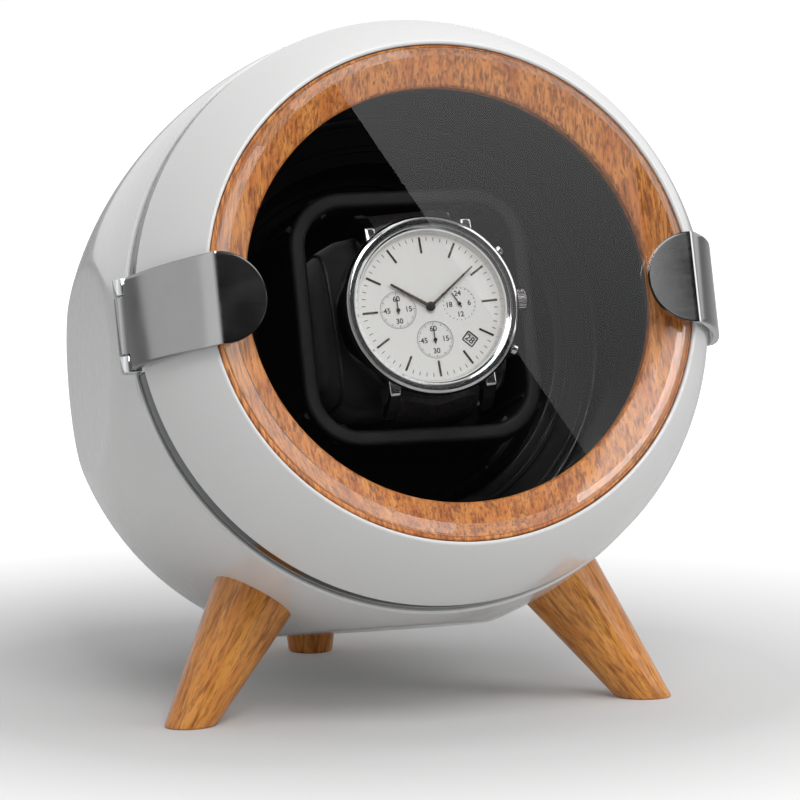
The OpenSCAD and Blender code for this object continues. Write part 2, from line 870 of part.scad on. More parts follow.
module watch_case() {
    inner_r = 18;
    color(chrome) watch_frame() difference() {
        union() {
            rotate_extrude() polygon([
                [inner_r, case_bottom], [19.9, case_bottom], [20.7, case_bottom + 1.2],
                [20.8, case_top - 1], [20.5, case_top], [inner_r, case_top]
            ]);
            for (x = [-1, 1], y = [0, 1]) {
                mirror([0, y, 0]) translate([x * (strap_w / 2 + 1.6), 0, 0]) across(2.6) lug_outline();
            }
        }
        post([0, 0], inner_r, case_bottom - 1, case_top + 1);
        for (side = [-1, 1]) {
            translate([0, side * lug_y, lug_z]) rotate([0, 90, 0]) {
                cylinder(h = strap_w + 2.4, r = bar_r + 0.02, center = true);
            }
        }
        button_bores();
    }
}

// Holes for the crown's stem and the two pushers
module button_bores() {
    for (a = [-pusher_angle, 0, pusher_angle]) rotate([0, 0, a]) {
        translate([15, 0, button_z]) rotate([0, 90, 0]) cylinder(h = 12, r = 0.86);
    }
}

module case_back() {
    color(steel) watch_frame() post([0, 0], 18.6, case_bottom - 0.85, case_bottom - 0.02);
}

module watch_bezel() {
    color(chrome) watch_frame() rotate_extrude() polygon([
        [18.85, case_top + 0.02], [20.7, case_top + 0.02], [watch_r, case_top + 0.5],
        [20.5, bezel_top - 0.2], [19.9, bezel_top], [18.85, bezel_top]
    ]);
}

module watch_crystal() {
    color(clear) watch_frame() rotate_extrude() polygon([
        [0, crystal_top - 1.5], [18.8, crystal_top - 1.5], [18.8, crystal_top - 0.5],
        [18.3, crystal_top], [0, crystal_top]
    ]);
}

module watch_dial() {
    color(dial_white) watch_frame() difference() {
        union() {
            post([0, 0], dial_r, dial_z - dial_t, dial_z);
            rotate_extrude() polygon([
                [17, dial_z - 0.1], [dial_r, dial_z - 0.1], [dial_r, dial_z + 1.9], [17.6, dial_z + 1.9]
            ]);
        }
        post([0, 0], 1.05, dial_z - 2, dial_z + 1);
        for (at = [subdial_left, subdial_low, subdial_right]) post(at, 0.42, dial_z - 2, dial_z + 1);
        rotate([0, 0, -45]) translate([10.6, -1.1, dial_z - 2]) cube([2.5, 2.2, 4]);
    }
}

module hour_markers() {
    color(bronze) watch_frame() for (k = [0:11]) rotate([0, 0, 30 * k]) {
        translate([12.6, -0.25, dial_z + 0.01]) cube([3.7, 0.5, 0.2]);
    }
}

module watch_movement() {
    color(brass) watch_frame() difference() {
        post([0, 0], 14.6, case_bottom + 0.1, dial_z - dial_t - 0.05);
        post([0, 0], 1.6, -19, -10);
        for (at = [subdial_left, subdial_low, subdial_right]) post(at, 0.8, -19, -10);
    }
}

// A tapered hand that points to an angle clockwise from twelve
module hand(len, tail, w0, w1, z, t, angle) {
    rotate([0, 0, -angle]) translate([0, 0, z]) linear_extrude(t) {
        polygon([[-w0 / 2, -tail], [w0 / 2, -tail], [w1 / 2, len], [-w1 / 2, len]]);
    }
}

module hour_hand() {
    color(bronze) watch_frame() difference() {
        union() {
            hand(10.6, 0, 0.75, 0.5, -15.75, 0.2, hour_angle);
            post([0, 0], 1.2, -15.75, -15.55);
            post([0, 0], 0.95, -16.8, -15.6);
        }
        post([0, 0], 0.66, -18, -14);
    }
}

module minute_hand() {
    color(bronze) watch_frame() {
        hand(13.8, 0, 0.65, 0.35, -15.2, 0.2, minute_angle);
        post([0, 0], 0.95, -15.2, -14.85);
        post([0, 0], 0.6, -17.6, -15.1);
    }
}

// A small counter hand at a subdial
module small_hand(at, angle) {
    translate([at[0], at[1], 0]) {
        hand(3.1, 0.9, 0.3, 0.18, -16.28, 0.14, angle);
        post([0, 0], 0.45, -16.28, -16.08);
        post([0, 0], 0.34, -17.6, -16.2);
    }
}

module seconds_hand() {
    color(bronze) watch_frame() small_hand(subdial_left, 0);
}

module counter_hand() {
    color(bronze) watch_frame() small_hand(subdial_low, 0);
}

module day_hand() {
    color(bronze) watch_frame() small_hand(subdial_right, day_angle);
}

module crown() {
    color(chrome) watch_frame() translate([0, 0, button_z]) rotate([0, 90, 0]) {
        difference() {
            translate([0, 0, 21.1]) cylinder(h = 2.8, r = 2.7);
            for (k = [0:17]) rotate([0, 0, 20 * k]) {
                translate([2.55, -0.15, 21.5]) cube([1, 0.3, 2]);
            }
        }
        translate([0, 0, 16]) cylinder(h = 5.2, r = 0.8);
    }
}

// A round-capped pusher, 0.9 mm clear of the case
module pusher(angle) {
    watch_frame() rotate([0, 0, angle]) translate([0, 0, button_z]) rotate([0, 90, 0]) {
        translate([0, 0, 21.8]) cylinder(h = 1.2, r = 1.7);
        translate([0, 0, 23]) cylinder(h = 0.4, r1 = 1.7, r2 = 1.3);
        translate([0, 0, 17]) cylinder(h = 4.9, r = 0.8);
    }
}

module pusher_upper() {
    color(chrome) pusher(pusher_angle);
}

module pusher_lower() {
    color(chrome) pusher(-pusher_angle);
}

// ---------- controls on the back ----------

module mode_knob() {
    color(black) face_frame() translate([knob_at[0], knob_at[1], panel_back]) difference() {
        union() {
            post([0, 0], 7, -7, -0.4);
            post([0, 0], 3.05, -1, 12.2);
        }
        for (k = [0:23]) rotate([0, 0, 15 * k]) {
            translate([6.7, -0.35, -8]) cube([1, 0.7, 6.4]);
        }
        translate([-0.5, 2, -7.5]) cube([1, 6, 1.2]);
    }
}

module power_rocker() {
    color(dark_grey) face_frame() translate([rocker_at[0], rocker_at[1], panel_back + rocker_z]) {
        rotate([0, rocker_tip, 0]) intersection() {
            rotate([90, 0, 0]) translate([0, 2, 0]) cylinder(h = 6.2, r = 6.2, center = true);
            translate([-4.9, -3.1, -4.4]) cube([9.8, 6.2, 5.4]);
        }
        rotate([90, 0, 0]) cylinder(h = 8, r = rocker_pin_r, center = true);
    }
}

front_bezel();
wood_ring();
trim_ring();
rear_shell();
inner_bowl();
bowl_screws();
chassis_plate();
chassis_screws();
tie_pillars();
back_panel();
panel_screws();
gear_motor();
motor_screws();
rotor_bush();
control_board();
switch_housing();
dc_jack();
latch_magnet();
hinge_bracket();
hinge_pin();
leg_front_left();
leg_front_right();
leg_rear();
leg_bolts();
acrylic_cover();
hinge_clip();
latch_clip();
rotor_disc();
holder_frame();
holder_screws();
rotor_shaft();
drive_gear();
shaft_clip();
motor_pinion();
motor_shaft();
cushion();
strap_upper();
strap_lower();
strap_buckle();
spring_bars();
watch_case();
case_back();
watch_bezel();
watch_crystal();
watch_dial();
hour_markers();
watch_movement();
hour_hand();
minute_hand();
seconds_hand();
counter_hand();
day_hand();
crown();
pusher_upper();
pusher_lower();
mode_knob();
power_rocker();
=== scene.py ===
"""Watch winder box: the visual model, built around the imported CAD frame.

Most pieces are drawn in millimetres in the face frame: z is the axis of the round front and
points out of it, y runs up the face, x runs to the right, and z = 0 is the opening's plane.
"""
import json
import math

import bmesh
import bpy
from mathutils import Matrix, Vector

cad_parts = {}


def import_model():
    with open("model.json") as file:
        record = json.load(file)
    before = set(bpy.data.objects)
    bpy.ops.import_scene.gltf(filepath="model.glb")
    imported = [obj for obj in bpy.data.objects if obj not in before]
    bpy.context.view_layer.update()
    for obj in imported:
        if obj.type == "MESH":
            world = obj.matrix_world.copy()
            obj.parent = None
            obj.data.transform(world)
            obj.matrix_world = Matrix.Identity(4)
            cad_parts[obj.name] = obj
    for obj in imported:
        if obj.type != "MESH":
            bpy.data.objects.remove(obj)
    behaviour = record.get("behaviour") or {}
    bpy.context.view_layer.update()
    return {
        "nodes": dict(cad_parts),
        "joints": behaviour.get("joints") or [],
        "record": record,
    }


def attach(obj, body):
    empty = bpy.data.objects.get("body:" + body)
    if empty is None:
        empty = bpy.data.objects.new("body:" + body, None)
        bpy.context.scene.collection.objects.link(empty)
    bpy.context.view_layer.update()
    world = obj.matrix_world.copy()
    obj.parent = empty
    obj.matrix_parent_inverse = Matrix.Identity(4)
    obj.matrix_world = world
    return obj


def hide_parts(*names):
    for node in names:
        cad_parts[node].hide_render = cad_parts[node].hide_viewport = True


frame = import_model()
SLOT_OF = {part["node"]: part["material_slot"] for part in frame["record"]["subparts"]}
JOINTS = {joint["name"]: joint for joint in frame["joints"]}
MM = 0.001

# ---------- frames ----------

OUTWARD = Vector(JOINTS["rotor_turn"]["axis"]).normalized()
ROTOR_DEPTH = 66
FACE_CENTRE = Vector(JOINTS["rotor_turn"]["pos_m"]) + OUTWARD * ROTOR_DEPTH * MM
UPWARD = Vector((0, OUTWARD.z, -OUTWARD.y))
WATCH_TURN = 3.4


def frame_from(x, y, z, origin):
    """The matrix of a frame with these axes and origin."""
    return Matrix.Translation(origin) @ Matrix((x, y, z)).transposed().to_4x4()


def turn(degrees, axis="Z"):
    return Matrix.Rotation(math.radians(degrees), 4, axis)


def shift(x, y, z=0):
    return Matrix.Translation((x, y, z))


FACE = frame_from(Vector((1, 0, 0)), UPWARD, OUTWARD, FACE_CENTRE)
WATCH = FACE @ turn(WATCH_TURN)


def watch_spoke(degrees, height):
    """A frame at the watch's centre whose z axis points out along a spoke of the case."""
    return WATCH @ shift(0, 0, height * MM) @ turn(degrees) @ turn(90, "Y")


# ---------- outlines ----------

def polar(centre, radius, degrees):
    angle = math.radians(degrees)
    return (centre[0] + radius * math.cos(angle), centre[1] + radius * math.sin(angle))


def arc(centre, radius, start, end, steps):
    """Points along an arc between two angles in degrees, ends included."""
    return [polar(centre, radius, start + (end - start) * k / steps) for k in range(steps + 1)]


def angle_to(centre, point):
    return math.degrees(math.atan2(point[1] - centre[1], point[0] - centre[0]))


def arc_centre(p, q, radius):
    """Centre of the arc through p and q, on the side of the axis."""
    gap = Vector(q) - Vector(p)
    side = Vector((gap.y, -gap.x)) / gap.length
    middle = (Vector(p) + Vector(q)) / 2
    return middle + side * math.sqrt(radius**2 - gap.length**2 / 4)


def rounded(points, steps=5):
    """A closed outline. Each point is (x, y), or (x, y, radius of its rounded corner)."""
    out = []
    for k, point in enumerate(points):
        corner = Vector(point[:2])
        if len(point) == 2:
            out.append(tuple(corner))
            continue
        before = Vector(points[k - 1][:2]) - corner
        after = Vector(points[(k + 1) % len(points)][:2]) - corner
        half = before.angle(after) / 2
        reach = min(point[2] / math.tan(half), before.length * 0.48, after.length * 0.48)
        radius = reach * math.tan(half)
        centre = corner + (before.normalized() + after.normalized()).normalized() * radius / math.sin(half)
        first = angle_to(centre, corner + before.normalized() * reach)
        last = angle_to(centre, corner + after.normalized() * reach)
        swing = (last - first + 180) % 360 - 180
        out += arc(centre, radius, first, first + swing, steps)
    return out


def rounded_rect(width, height, radius, steps=10):
    """A rectangle with round corners, centred, anticlockwise."""
    out = []
    for k, (sx, sy) in enumerate([(1, 1), (-1, 1), (-1, -1), (1, -1)]):
        centre = (sx * (width / 2 - radius), sy * (height / 2 - radius))
        out += arc(centre, radius, 90 * k, 90 * k + 90, steps)
    return out


# ---------- meshes ----------

def grid_faces(rows, columns, wrap_rows=False, wrap_columns=False):
    """Quads between neighbouring points of a grid kept row after row."""
    faces = []
    for i in range(rows if wrap_rows else rows - 1):
        for j in range(columns if wrap_columns else columns - 1):
            a, b = i * columns, (i + 1) % rows * columns
            c = (j + 1) % columns
            faces.append((a + j, b + j, b + c, a + c))
    return faces


def new_object(name, mesh, where=Matrix.Identity(4)):
    obj = bpy.data.objects.new(name, mesh)
    bpy.context.scene.collection.objects.link(obj)
    obj.matrix_world = where
    return obj


def smooth(obj, crease=34):
    """Welds the mesh, turns its faces outwards and shades it smooth between its creases."""
    mesh = bmesh.new()
    mesh.from_mesh(obj.data)
    bmesh.ops.remove_doubles(mesh, verts=mesh.verts, dist=0.002 * MM)
    bmesh.ops.recalc_face_normals(mesh, faces=mesh.faces)
    mesh.to_mesh(obj.data)
    mesh.free()
    obj.data.shade_smooth()
    obj.data.set_sharp_from_angle(angle=math.radians(crease))
    return obj


def solid(name, parts, where=FACE, crease=34):
    """One object from (points in mm, faces) pairs drawn in a frame."""
    vertices, faces = [], []
    for points, quads in parts:
        start = len(vertices)
        vertices += [where @ (Vector(p) * MM) for p in points]
        faces += [tuple(start + k for k in quad) for quad in quads]
    mesh = bpy.data.meshes.new(name)
    mesh.from_pydata(vertices, [], faces)
    return smooth(new_object(name, mesh), crease)


def revolve(profile, steps=240, start=0, end=360, reshape=None):
    """Turns a closed (r, z) outline round the z axis. reshape(r, z, angle) may change r."""
    whole = abs(end - start) >= 360
    count = steps if whole else steps + 1
    points = []
    for k in range(count):
        angle = math.radians(start + (end - start) * k / steps)
        for r, z in profile:
            radius = reshape(r, z, angle) if reshape else r
            points.append((radius * math.cos(angle), radius * math.sin(angle), z))
    size = len(profile)
    faces = grid_faces(count, size, wrap_rows=whole, wrap_columns=True)
    if not whole:
        faces += [tuple(range(size)), tuple(range((count - 1) * size, count * size))]
    return points, faces


def tube(bore, radius, low, high, steps=32):
    """A straight tube round the z axis, or a pin if its bore is nothing."""
    return revolve([(bore, low), (radius, low), (radius, high), (bore, high)], steps)


def lathed(node, outline, steps, where=FACE, crease=34):
    """The piece that stands for a node, turned from its closed (r, z) outline."""
    return solid(node + "_look", [revolve(outline, steps)], where, crease)


def sweep_rect(width, height, corner, section, steps=16):
    """Runs a closed section of (offset, z) points round a rectangle with round corners."""
    loops = [rounded_rect(width + 2 * o, height + 2 * o, corner + o, steps) for o, _ in section]
    count = len(loops[0])
    points = [(*loops[i][k], z) for k in range(count) for i, (_, z) in enumerate(section)]
    return points, grid_faces(count, len(section), wrap_rows=True, wrap_columns=True)


def prism(outline, low, high):
    """Extrudes a closed (x, y) outline along z."""
    size = len(outline)
    points = [(*p, low) for p in outline] + [(*p, high) for p in outline]
    faces = grid_faces(2, size, wrap_columns=True)
    return points, faces + [tuple(range(size)), tuple(range(size, 2 * size))]


def moved(part, matrix):
    """A part with its points (in mm) taken through a matrix."""
    points, faces = part
    return [tuple(matrix @ Vector(p)) for p in points], faces


def box(low, high):
    return prism([(low[0], low[1]), (high[0], low[1]), (high[0], high[1]), (low[0], high[1])],
                 low[2], high[2])


def ridge_bar(near, far, width_near, width_far, low, thick, degrees):
    """A thin bar with a raised middle that lies along a direction clockwise from twelve."""
    points = []
    for y, width in ((near, width_near), (far, width_far)):
        points += [
            (-width / 2, y, low), (-width / 2, y, low + thick * 0.45), (0, y, low + thick),
            (width / 2, y, low + thick * 0.45), (width / 2, y, low)
        ]
    faces = grid_faces(2, 5, wrap_columns=True) + [tuple(range(5)), tuple(range(5, 10))]
    return moved((points, faces), turn(-degrees))


def baked(obj):
    """Applies the object's modifiers."""
    graph = bpy.context.evaluated_depsgraph_get()
    mesh = bpy.data.meshes.new_from_object(obj.evaluated_get(graph))
    obj.modifiers.clear()
    obj.data = mesh
    return obj


def bevelled(obj, width, steps=3, limit=40):
    """Rounds the object's sharp edges by a width in mm."""
    bevel = obj.modifiers.new("bevel", "BEVEL")
    bevel.width = width * MM
    bevel.segments = steps
    bevel.limit_method = "ANGLE"
    bevel.angle_limit = math.radians(limit)
    return smooth(baked(obj))


def boolean(obj, other, operation):
    """Joins another object to this one, or cuts it away, and removes the other."""
    cut = obj.modifiers.new("boolean", "BOOLEAN")
    cut.operation = operation
    cut.object = other
    cut.solver = "EXACT"
    baked(obj)
    bpy.data.objects.remove(other)
    return smooth(obj)


def refined(node, width):
    """A copy of a CAD node with its sharp edges rounded."""
    source = frame["nodes"][node].data
    points = [tuple(v.co / MM) for v in source.vertices]
    faces = [tuple(face.vertices) for face in source.polygons]
    obj = solid(node + "_look", [(points, faces)], Matrix.Identity(4))
    mesh = bmesh.new()
    mesh.from_mesh(obj.data)
    flat = math.radians(1)
    bmesh.ops.dissolve_limit(mesh, angle_limit=flat, verts=mesh.verts, edges=mesh.edges)
    mesh.to_mesh(obj.data)
    mesh.free()
    return bevelled(obj, width)


def place(obj, body, *nodes, finish=None):
    """Gives a piece its finish and its body, and hides the CAD nodes it stands for."""
    finish = finish or SLOT_OF[nodes[0]]
    obj.data.materials.clear()
    obj.data.materials.append(FINISHES[finish])
    if nodes:
        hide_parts(*nodes)
    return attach(obj, body)


def stand_in(body, *makers):
    """Places pieces whose functions bear the names of their CAD nodes."""
    for make in makers:
        place(make(), body, make.__name__)


# ---------- finishes ----------

def add_node(tree, kind, inputs=None, **settings):
    """Adds a node. An input is a socket to link from, or a value."""
    made = tree.nodes.new(kind)
    for key, value in settings.items():
        setattr(made, key, value)
    for key, value in (inputs or {}).items():
        if isinstance(value, bpy.types.NodeSocket):
            tree.links.new(value, made.inputs[key])
        else:
            made.inputs[key].default_value = value
    return made


class Paint:
    """A material's nodes, with short calls for the ones that the finishes share."""

    def __init__(self, name, **constants):
        self.material = bpy.data.materials.new(name)
        self.material.use_nodes = True
        self.tree = self.material.node_tree
        self.shader = self.tree.nodes["Principled BSDF"]
        for socket, value in constants.items():
            self.shader.inputs[socket.replace("_", " ")].default_value = value

    def node(self, kind, inputs=None, **settings):
        return add_node(self.tree, kind, inputs, **settings)

    def millimetres(self, stretch=(1, 1, 1), turned=Matrix.Identity(3)):
        """Coordinates in millimetres in a turned frame, stretched along each of its axes."""
        at = self.node("ShaderNodeTexCoord").outputs["Object"]
        inputs = {"Vector": at, "Rotation": turned.transposed().to_euler()}
        level = self.node("ShaderNodeMapping", inputs).outputs["Vector"]
        inputs = {"Vector": level, "Scale": [part / MM for part in stretch]}
        return self.node("ShaderNodeMapping", inputs).outputs["Vector"]

    def noise(self, vector, scale=1.0, detail=4.0, rough=0.5, distortion=0.0):
        inputs = {
            "Vector": vector, "Scale": scale, "Detail": detail, "Roughness": rough,
            "Distortion": distortion
        }
        return self.node("ShaderNodeTexNoise", inputs).outputs["Fac"]

    def cells(self, vector, scale, feature="F1"):
        inputs = {"Vector": vector, "Scale": scale}
        return self.node("ShaderNodeTexVoronoi", inputs, feature=feature).outputs["Distance"]

    def waves(self, vector, scale, direction, distortion=0.0):
        inputs = {"Vector": vector, "Scale": scale, "Distortion": distortion}
        return self.node("ShaderNodeTexWave", inputs, bands_direction=direction).outputs["Fac"]

    def spread(self, value, low, high, to_low=0.0, to_high=1.0):
        """Maps a value's range to another one, clamped."""
        inputs = {"Value": value, "From Min": low, "From Max": high, "To Min": to_low, "To Max": to_high}
        return self.node("ShaderNodeMapRange", inputs).outputs["Result"]

    def blend(self, share, first, second):
        """Mixes two colours, each a socket or three numbers."""
        first, second = ((*c, 1) if isinstance(c, tuple) else c for c in (first, second))
        return self.node("ShaderNodeMix", {0: share, 6: first, 7: second}, data_type="RGBA").outputs[2]

    def calc(self, operation, first, second=0.0):
        made = self.node("ShaderNodeMath", {0: first, 1: second}, operation=operation)
        return made.outputs[0]

    def colour(self, share, dark, light):
        self.use(Base_Color=self.blend(share, dark, light))

    def gloss(self, cloud, low, high):
        """Spreads the roughness over a cloud, which mostly lies between 0.3 and 0.7."""
        self.use(Roughness=self.spread(cloud, 0.3, 0.7, low, high))

    def bump(self, height, depth, strength):
        """Raises the surface by a height map as deep as so many mm, and gives the material."""
        inputs = {"Height": height, "Distance": depth * MM, "Strength": strength}
        self.use(Normal=self.node("ShaderNodeBump", inputs).outputs["Normal"])
        return self.material

    def use(self, **sockets):
        for name, source in sockets.items():
            self.tree.links.new(source, self.shader.inputs[name.replace("_", " ")])


def gloss_white():
    """Glossy moulded plastic with a faint orange peel."""
    paint = Paint("gloss_white", Coat_Weight=0.6, Coat_Roughness=0.06, Specular_IOR_Level=0.5)
    where = paint.millimetres()
    cloud = paint.noise(where, 0.03, 3)
    paint.colour(cloud, (0.76, 0.76, 0.757), (0.79, 0.79, 0.787))
    paint.gloss(paint.noise(where, 0.4, 6), 0.16, 0.26)
    return paint.bump(paint.noise(where, 0.9, 2), 0.006, 0.35)


def wood(name, where, along, light, mean, dark, fleck_share):
    """Lacquered wood whose grain runs along one axis of a frame."""
    paint = Paint(name, Coat_Weight=0.4, Coat_Roughness=0.1, Specular_IOR_Level=0.35)

    def stretched(across, lengthways):
        sizes = [lengthways if axis == along else across for axis in "xyz"]
        return paint.millimetres(sizes, where.to_3x3())

    bands = paint.noise(stretched(0.28, 0.018), 1, 3, 0.55, 0.5)
    lines = paint.noise(stretched(1.1, 0.018), 1, 5, 0.62, 0.2)
    flecks = paint.noise(stretched(1.9, 0.24), 1, 2.5, 0.5, 0.3)
    fibres = paint.noise(stretched(7, 0.5), 1, 3, 0.6)
    ground = paint.blend(paint.spread(bands, 0.36, 0.66), light, mean)
    lined = paint.blend(paint.spread(lines, 0.46, 0.66, 0, 0.85), ground, dark)
    fleck = paint.spread(flecks, 0.53, 0.65, 0, fleck_share)
    flecked = paint.blend(fleck, lined, dark)
    streaked = paint.blend(paint.spread(fibres, 0.35, 0.7, 0, 0.28), flecked, mean)
    paint.use(Base_Color=streaked)
    paint.gloss(fibres, 0.3, 0.46)
    return paint.bump(paint.calc("SUBTRACT", fibres, fleck), 0.02, 0.3)


def metal(name, dark, light, rough, brushed=(1, 1, 1), depth=0.002):
    """Polished or brushed metal, with smudges in its gloss and fine lines along one way."""
    paint = Paint(name, Metallic=1.0)
    cloud = paint.noise(paint.millimetres(), 0.12, 3)
    lines = paint.noise(paint.millimetres(brushed), 1, 4, 0.6)
    paint.colour(cloud, dark, light)
    both = paint.calc("MULTIPLY", paint.calc("ADD", cloud, lines), 0.5)
    paint.gloss(both, rough * 0.7, rough * 1.4)
    return paint.bump(lines, depth, 0.3)


def plastic(name, dark, light, rough, grain, depth):
    """Moulded plastic with a fine spark-eroded texture."""
    paint = Paint(name, Specular_IOR_Level=0.2)
    where = paint.millimetres()
    texture = paint.noise(where, grain, 4, 0.6)
    paint.colour(paint.noise(where, 0.08, 3), dark, light)
    paint.gloss(texture, rough - 0.07, rough + 0.1)
    return paint.bump(texture, depth, 0.6)


def leather(name, dark, light, grain, rough):
    """Grained leather: pebbles between fine creases, lighter on the high spots and darker in the creases.
    """
    paint = Paint(name, Specular_IOR_Level=0.45)
    where = paint.millimetres()
    pebbles = paint.cells(where, grain, "SMOOTH_F1")
    creases = paint.noise(where, grain * 0.6, 5, 0.65, 0.4)
    height = paint.calc("SUBTRACT", creases, paint.calc("MULTIPLY", pebbles, 0.8))
    paint.colour(paint.spread(height, 0, 0.6), dark, light)
    paint.use(Roughness=paint.spread(height, 0, 0.6, rough + 0.12, rough - 0.06))
    return paint.bump(height, 0.12, 0.7)


def microfibre():
    """Soft black cushion cloth: a fine crossed weave under a short nap."""
    paint = Paint("microfibre", Sheen_Weight=0.25, Sheen_Roughness=0.45, Specular_IOR_Level=0.3)
    where = paint.millimetres()
    warp = paint.waves(where, 0.8, "Y", 0.6)
    weft = paint.waves(where, 0.8, "Z", 0.6)
    weave = paint.calc("MAXIMUM", warp, weft)
    nap = paint.noise(where, 3.5, 5, 0.7)
    paint.colour(nap, (0.008, 0.008, 0.009), (0.022, 0.022, 0.024))
    paint.gloss(nap, 0.7, 0.92)
    return paint.bump(paint.calc("ADD", weave, nap), 0.07, 0.6)


def enamel(name, dark, light, rough):
    """A printed or lacquered watch surface with a very fine grain."""
    paint = Paint(name, Specular_IOR_Level=0.4)
    fine = paint.noise(paint.millimetres(), 2.5, 5, 0.6)
    paint.colour(fine, dark, light)
    paint.gloss(fine, rough - 0.05, rough + 0.08)
    return paint.bump(fine, 0.004, 0.4)


def clear(name, tint, ior):
    """Clear acrylic or glass that lets the lamps through to what lies behind it."""
    paint = Paint(name, Transmission_Weight=1.0, IOR=ior, Base_Color=(*tint, 1))
    where = paint.millimetres()
    haze = paint.noise(where, 0.05, 4, 0.6, 0.5)
    paint.use(Roughness=paint.spread(haze, 0.45, 0.75, 0.0, 0.012))
    paint.bump(paint.noise(where, 0.1, 2), 0.001, 0.2)
    path = paint.node("ShaderNodeLightPath")
    lamp = paint.calc("MAXIMUM", path.outputs["Is Shadow Ray"], path.outputs["Is Diffuse Ray"])
    through = paint.node("ShaderNodeBsdfTransparent", {"Color": (*tint, 1)})
    inputs = {0: lamp, 1: paint.shader.outputs["BSDF"], 2: through.outputs["BSDF"]}
    mixed = paint.node("ShaderNodeMixShader", inputs)
    surface = paint.tree.nodes["Material Output"].inputs["Surface"]
    paint.tree.links.new(mixed.outputs["Shader"], surface)
    return paint.material


WOOD_LIGHT = (0.74, 0.29, 0.062)
WOOD_MEAN = (0.54, 0.155, 0.025)
WOOD_DARK = (0.14, 0.03, 0.006)
OAK_LIGHT = (0.8, 0.36, 0.075)
OAK_MEAN = (0.64, 0.22, 0.033)
OAK_DARK = (0.2, 0.05, 0.009)

FINISHES = {
    "gloss_white": gloss_white(),
    "wood": wood("ring_wood", FACE, "y", WOOD_LIGHT, WOOD_MEAN, WOOD_DARK, 0.8),
    "cushion": microfibre(),
    "strap": leather("strap_leather", (0.008, 0.007, 0.007), (0.026, 0.023, 0.022), 1.5, 0.42),
    "thread": leather("waxed_thread", (0.012, 0.011, 0.011), (0.03, 0.028, 0.027), 5, 0.5),
    "dial": enamel("dial_enamel", (0.76, 0.735, 0.7), (0.8, 0.775, 0.745), 0.42),
    "print": enamel("dial_print", (0.035, 0.032, 0.03), (0.06, 0.055, 0.05), 0.5),
}
for make, name, *values in (
    (plastic, "black_gloss", (0.01, 0.01, 0.011), (0.016, 0.016, 0.017), 0.18, 1.5, 0.004),
    (plastic, "black_matte", (0.005, 0.005, 0.006), (0.009, 0.009, 0.01), 0.6, 5, 0.02),
    (plastic, "grey_plastic", (0.035, 0.035, 0.037), (0.05, 0.05, 0.052), 0.45, 4, 0.02),
    (plastic, "acetal", (0.72, 0.71, 0.68), (0.78, 0.77, 0.74), 0.4, 3, 0.01),
    (plastic, "board", (0.01, 0.11, 0.04), (0.015, 0.15, 0.06), 0.35, 1.2, 0.01),
    (metal, "chrome", (0.62, 0.63, 0.64), (0.7, 0.71, 0.72), 0.09),
    (metal, "dark_chrome", (0.1, 0.105, 0.11), (0.14, 0.145, 0.15), 0.12),
    (metal, "satin_steel", (0.33, 0.33, 0.335), (0.38, 0.38, 0.385), 0.11, (0.1, 4, 4), 0.003),
    (metal, "steel", (0.42, 0.42, 0.43), (0.52, 0.52, 0.53), 0.28, (3, 3, 0.3)),
    (metal, "watch_steel", (0.5, 0.5, 0.51), (0.58, 0.58, 0.59), 0.1),
    (metal, "brass", (0.62, 0.42, 0.14), (0.72, 0.5, 0.19), 0.25, (3, 3, 0.3)),
    (metal, "bronze", (0.1, 0.08, 0.062), (0.14, 0.115, 0.09), 0.24),
    (clear, "acrylic", (0.985, 0.99, 0.99), 1.49), (clear, "crystal", (0.99, 0.995, 1.0), 1.52)
):
    FINISHES[name] = make(name, *values)

for name, node in frame["nodes"].items():
    node.data.materials.clear()
    node.data.materials.append(FINISHES[SLOT_OF[name]])

# ---------- the case ----------

BEZEL_ARC = 64
LIP = (58.0, 4.0)
SEAM = (68.6, -19.5)
BEZEL_CENTRE = arc_centre(LIP, SEAM, BEZEL_ARC)
WALL = 2.6
WOOD_EDGE = 57.4
SHELF = (-3.1, -5.5)
BARREL_R = 70.8
BARREL_DEPTH = 52
BARREL_ARC = 225
SHOULDER_DEPTH = 100
SHOULDER_ARC = 50
CASE_DEPTH = 136
BAND = (-19.55, -25.45)
FACET_DEPTH = 35.5
FACET_R = 70.4
FACET_SLOPE = math.tan(math.radians(7))
BARREL_CENTRE = (BARREL_R - BARREL_ARC, -BARREL_DEPTH)
BARREL_LEAN = math.degrees(math.asin((SHOULDER_DEPTH - BARREL_DEPTH) / BARREL_ARC))
SHOULDER_CENTRE = polar(polar(BARREL_CENTRE, BARREL_ARC, -BARREL_LEAN), -SHOULDER_ARC, -BARREL_LEAN)
SHOULDER_LEAN = math.degrees(math.asin((CASE_DEPTH + SHOULDER_CENTRE[1]) / SHOULDER_ARC))


def front_bezel():
    lip_round = 0.5
    lip_x = WOOD_EDGE + lip_round
    rise = math.sqrt((BEZEL_ARC - lip_round) ** 2 - (lip_x - BEZEL_CENTRE.x) ** 2)
    lip = (lip_x, BEZEL_CENTRE.y + rise)
    top = angle_to(BEZEL_CENTRE, lip)
    seam = angle_to(BEZEL_CENTRE, SEAM)
    edge = 0.5
    outline = [(SEAM[0] - edge, SEAM[1]), (SEAM[0] - edge * 0.3, SEAM[1] + edge * 0.25)]
    outline += arc(BEZEL_CENTRE, BEZEL_ARC, seam + edge, top, 80)
    outline += arc(lip, lip_round, top, 180, 8)
    outline += [(WOOD_EDGE, SHELF[0]), (49.6, SHELF[0]), (49.6, SHELF[1]), (60.7, SHELF[1])]
    inner = BEZEL_ARC - WALL
    inside = [angle_to(BEZEL_CENTRE, p) for p in ((60.7, SHELF[1]), (65.3, -17.1))]
    outline += arc(BEZEL_CENTRE, inner, inside[0], inside[1], 16)[1:]
    outline += [(62.8, -17.1), (62.8, -30), (65.4, -30), (65.4, SEAM[1])]
    return lathed("front_bezel", outline, 360)


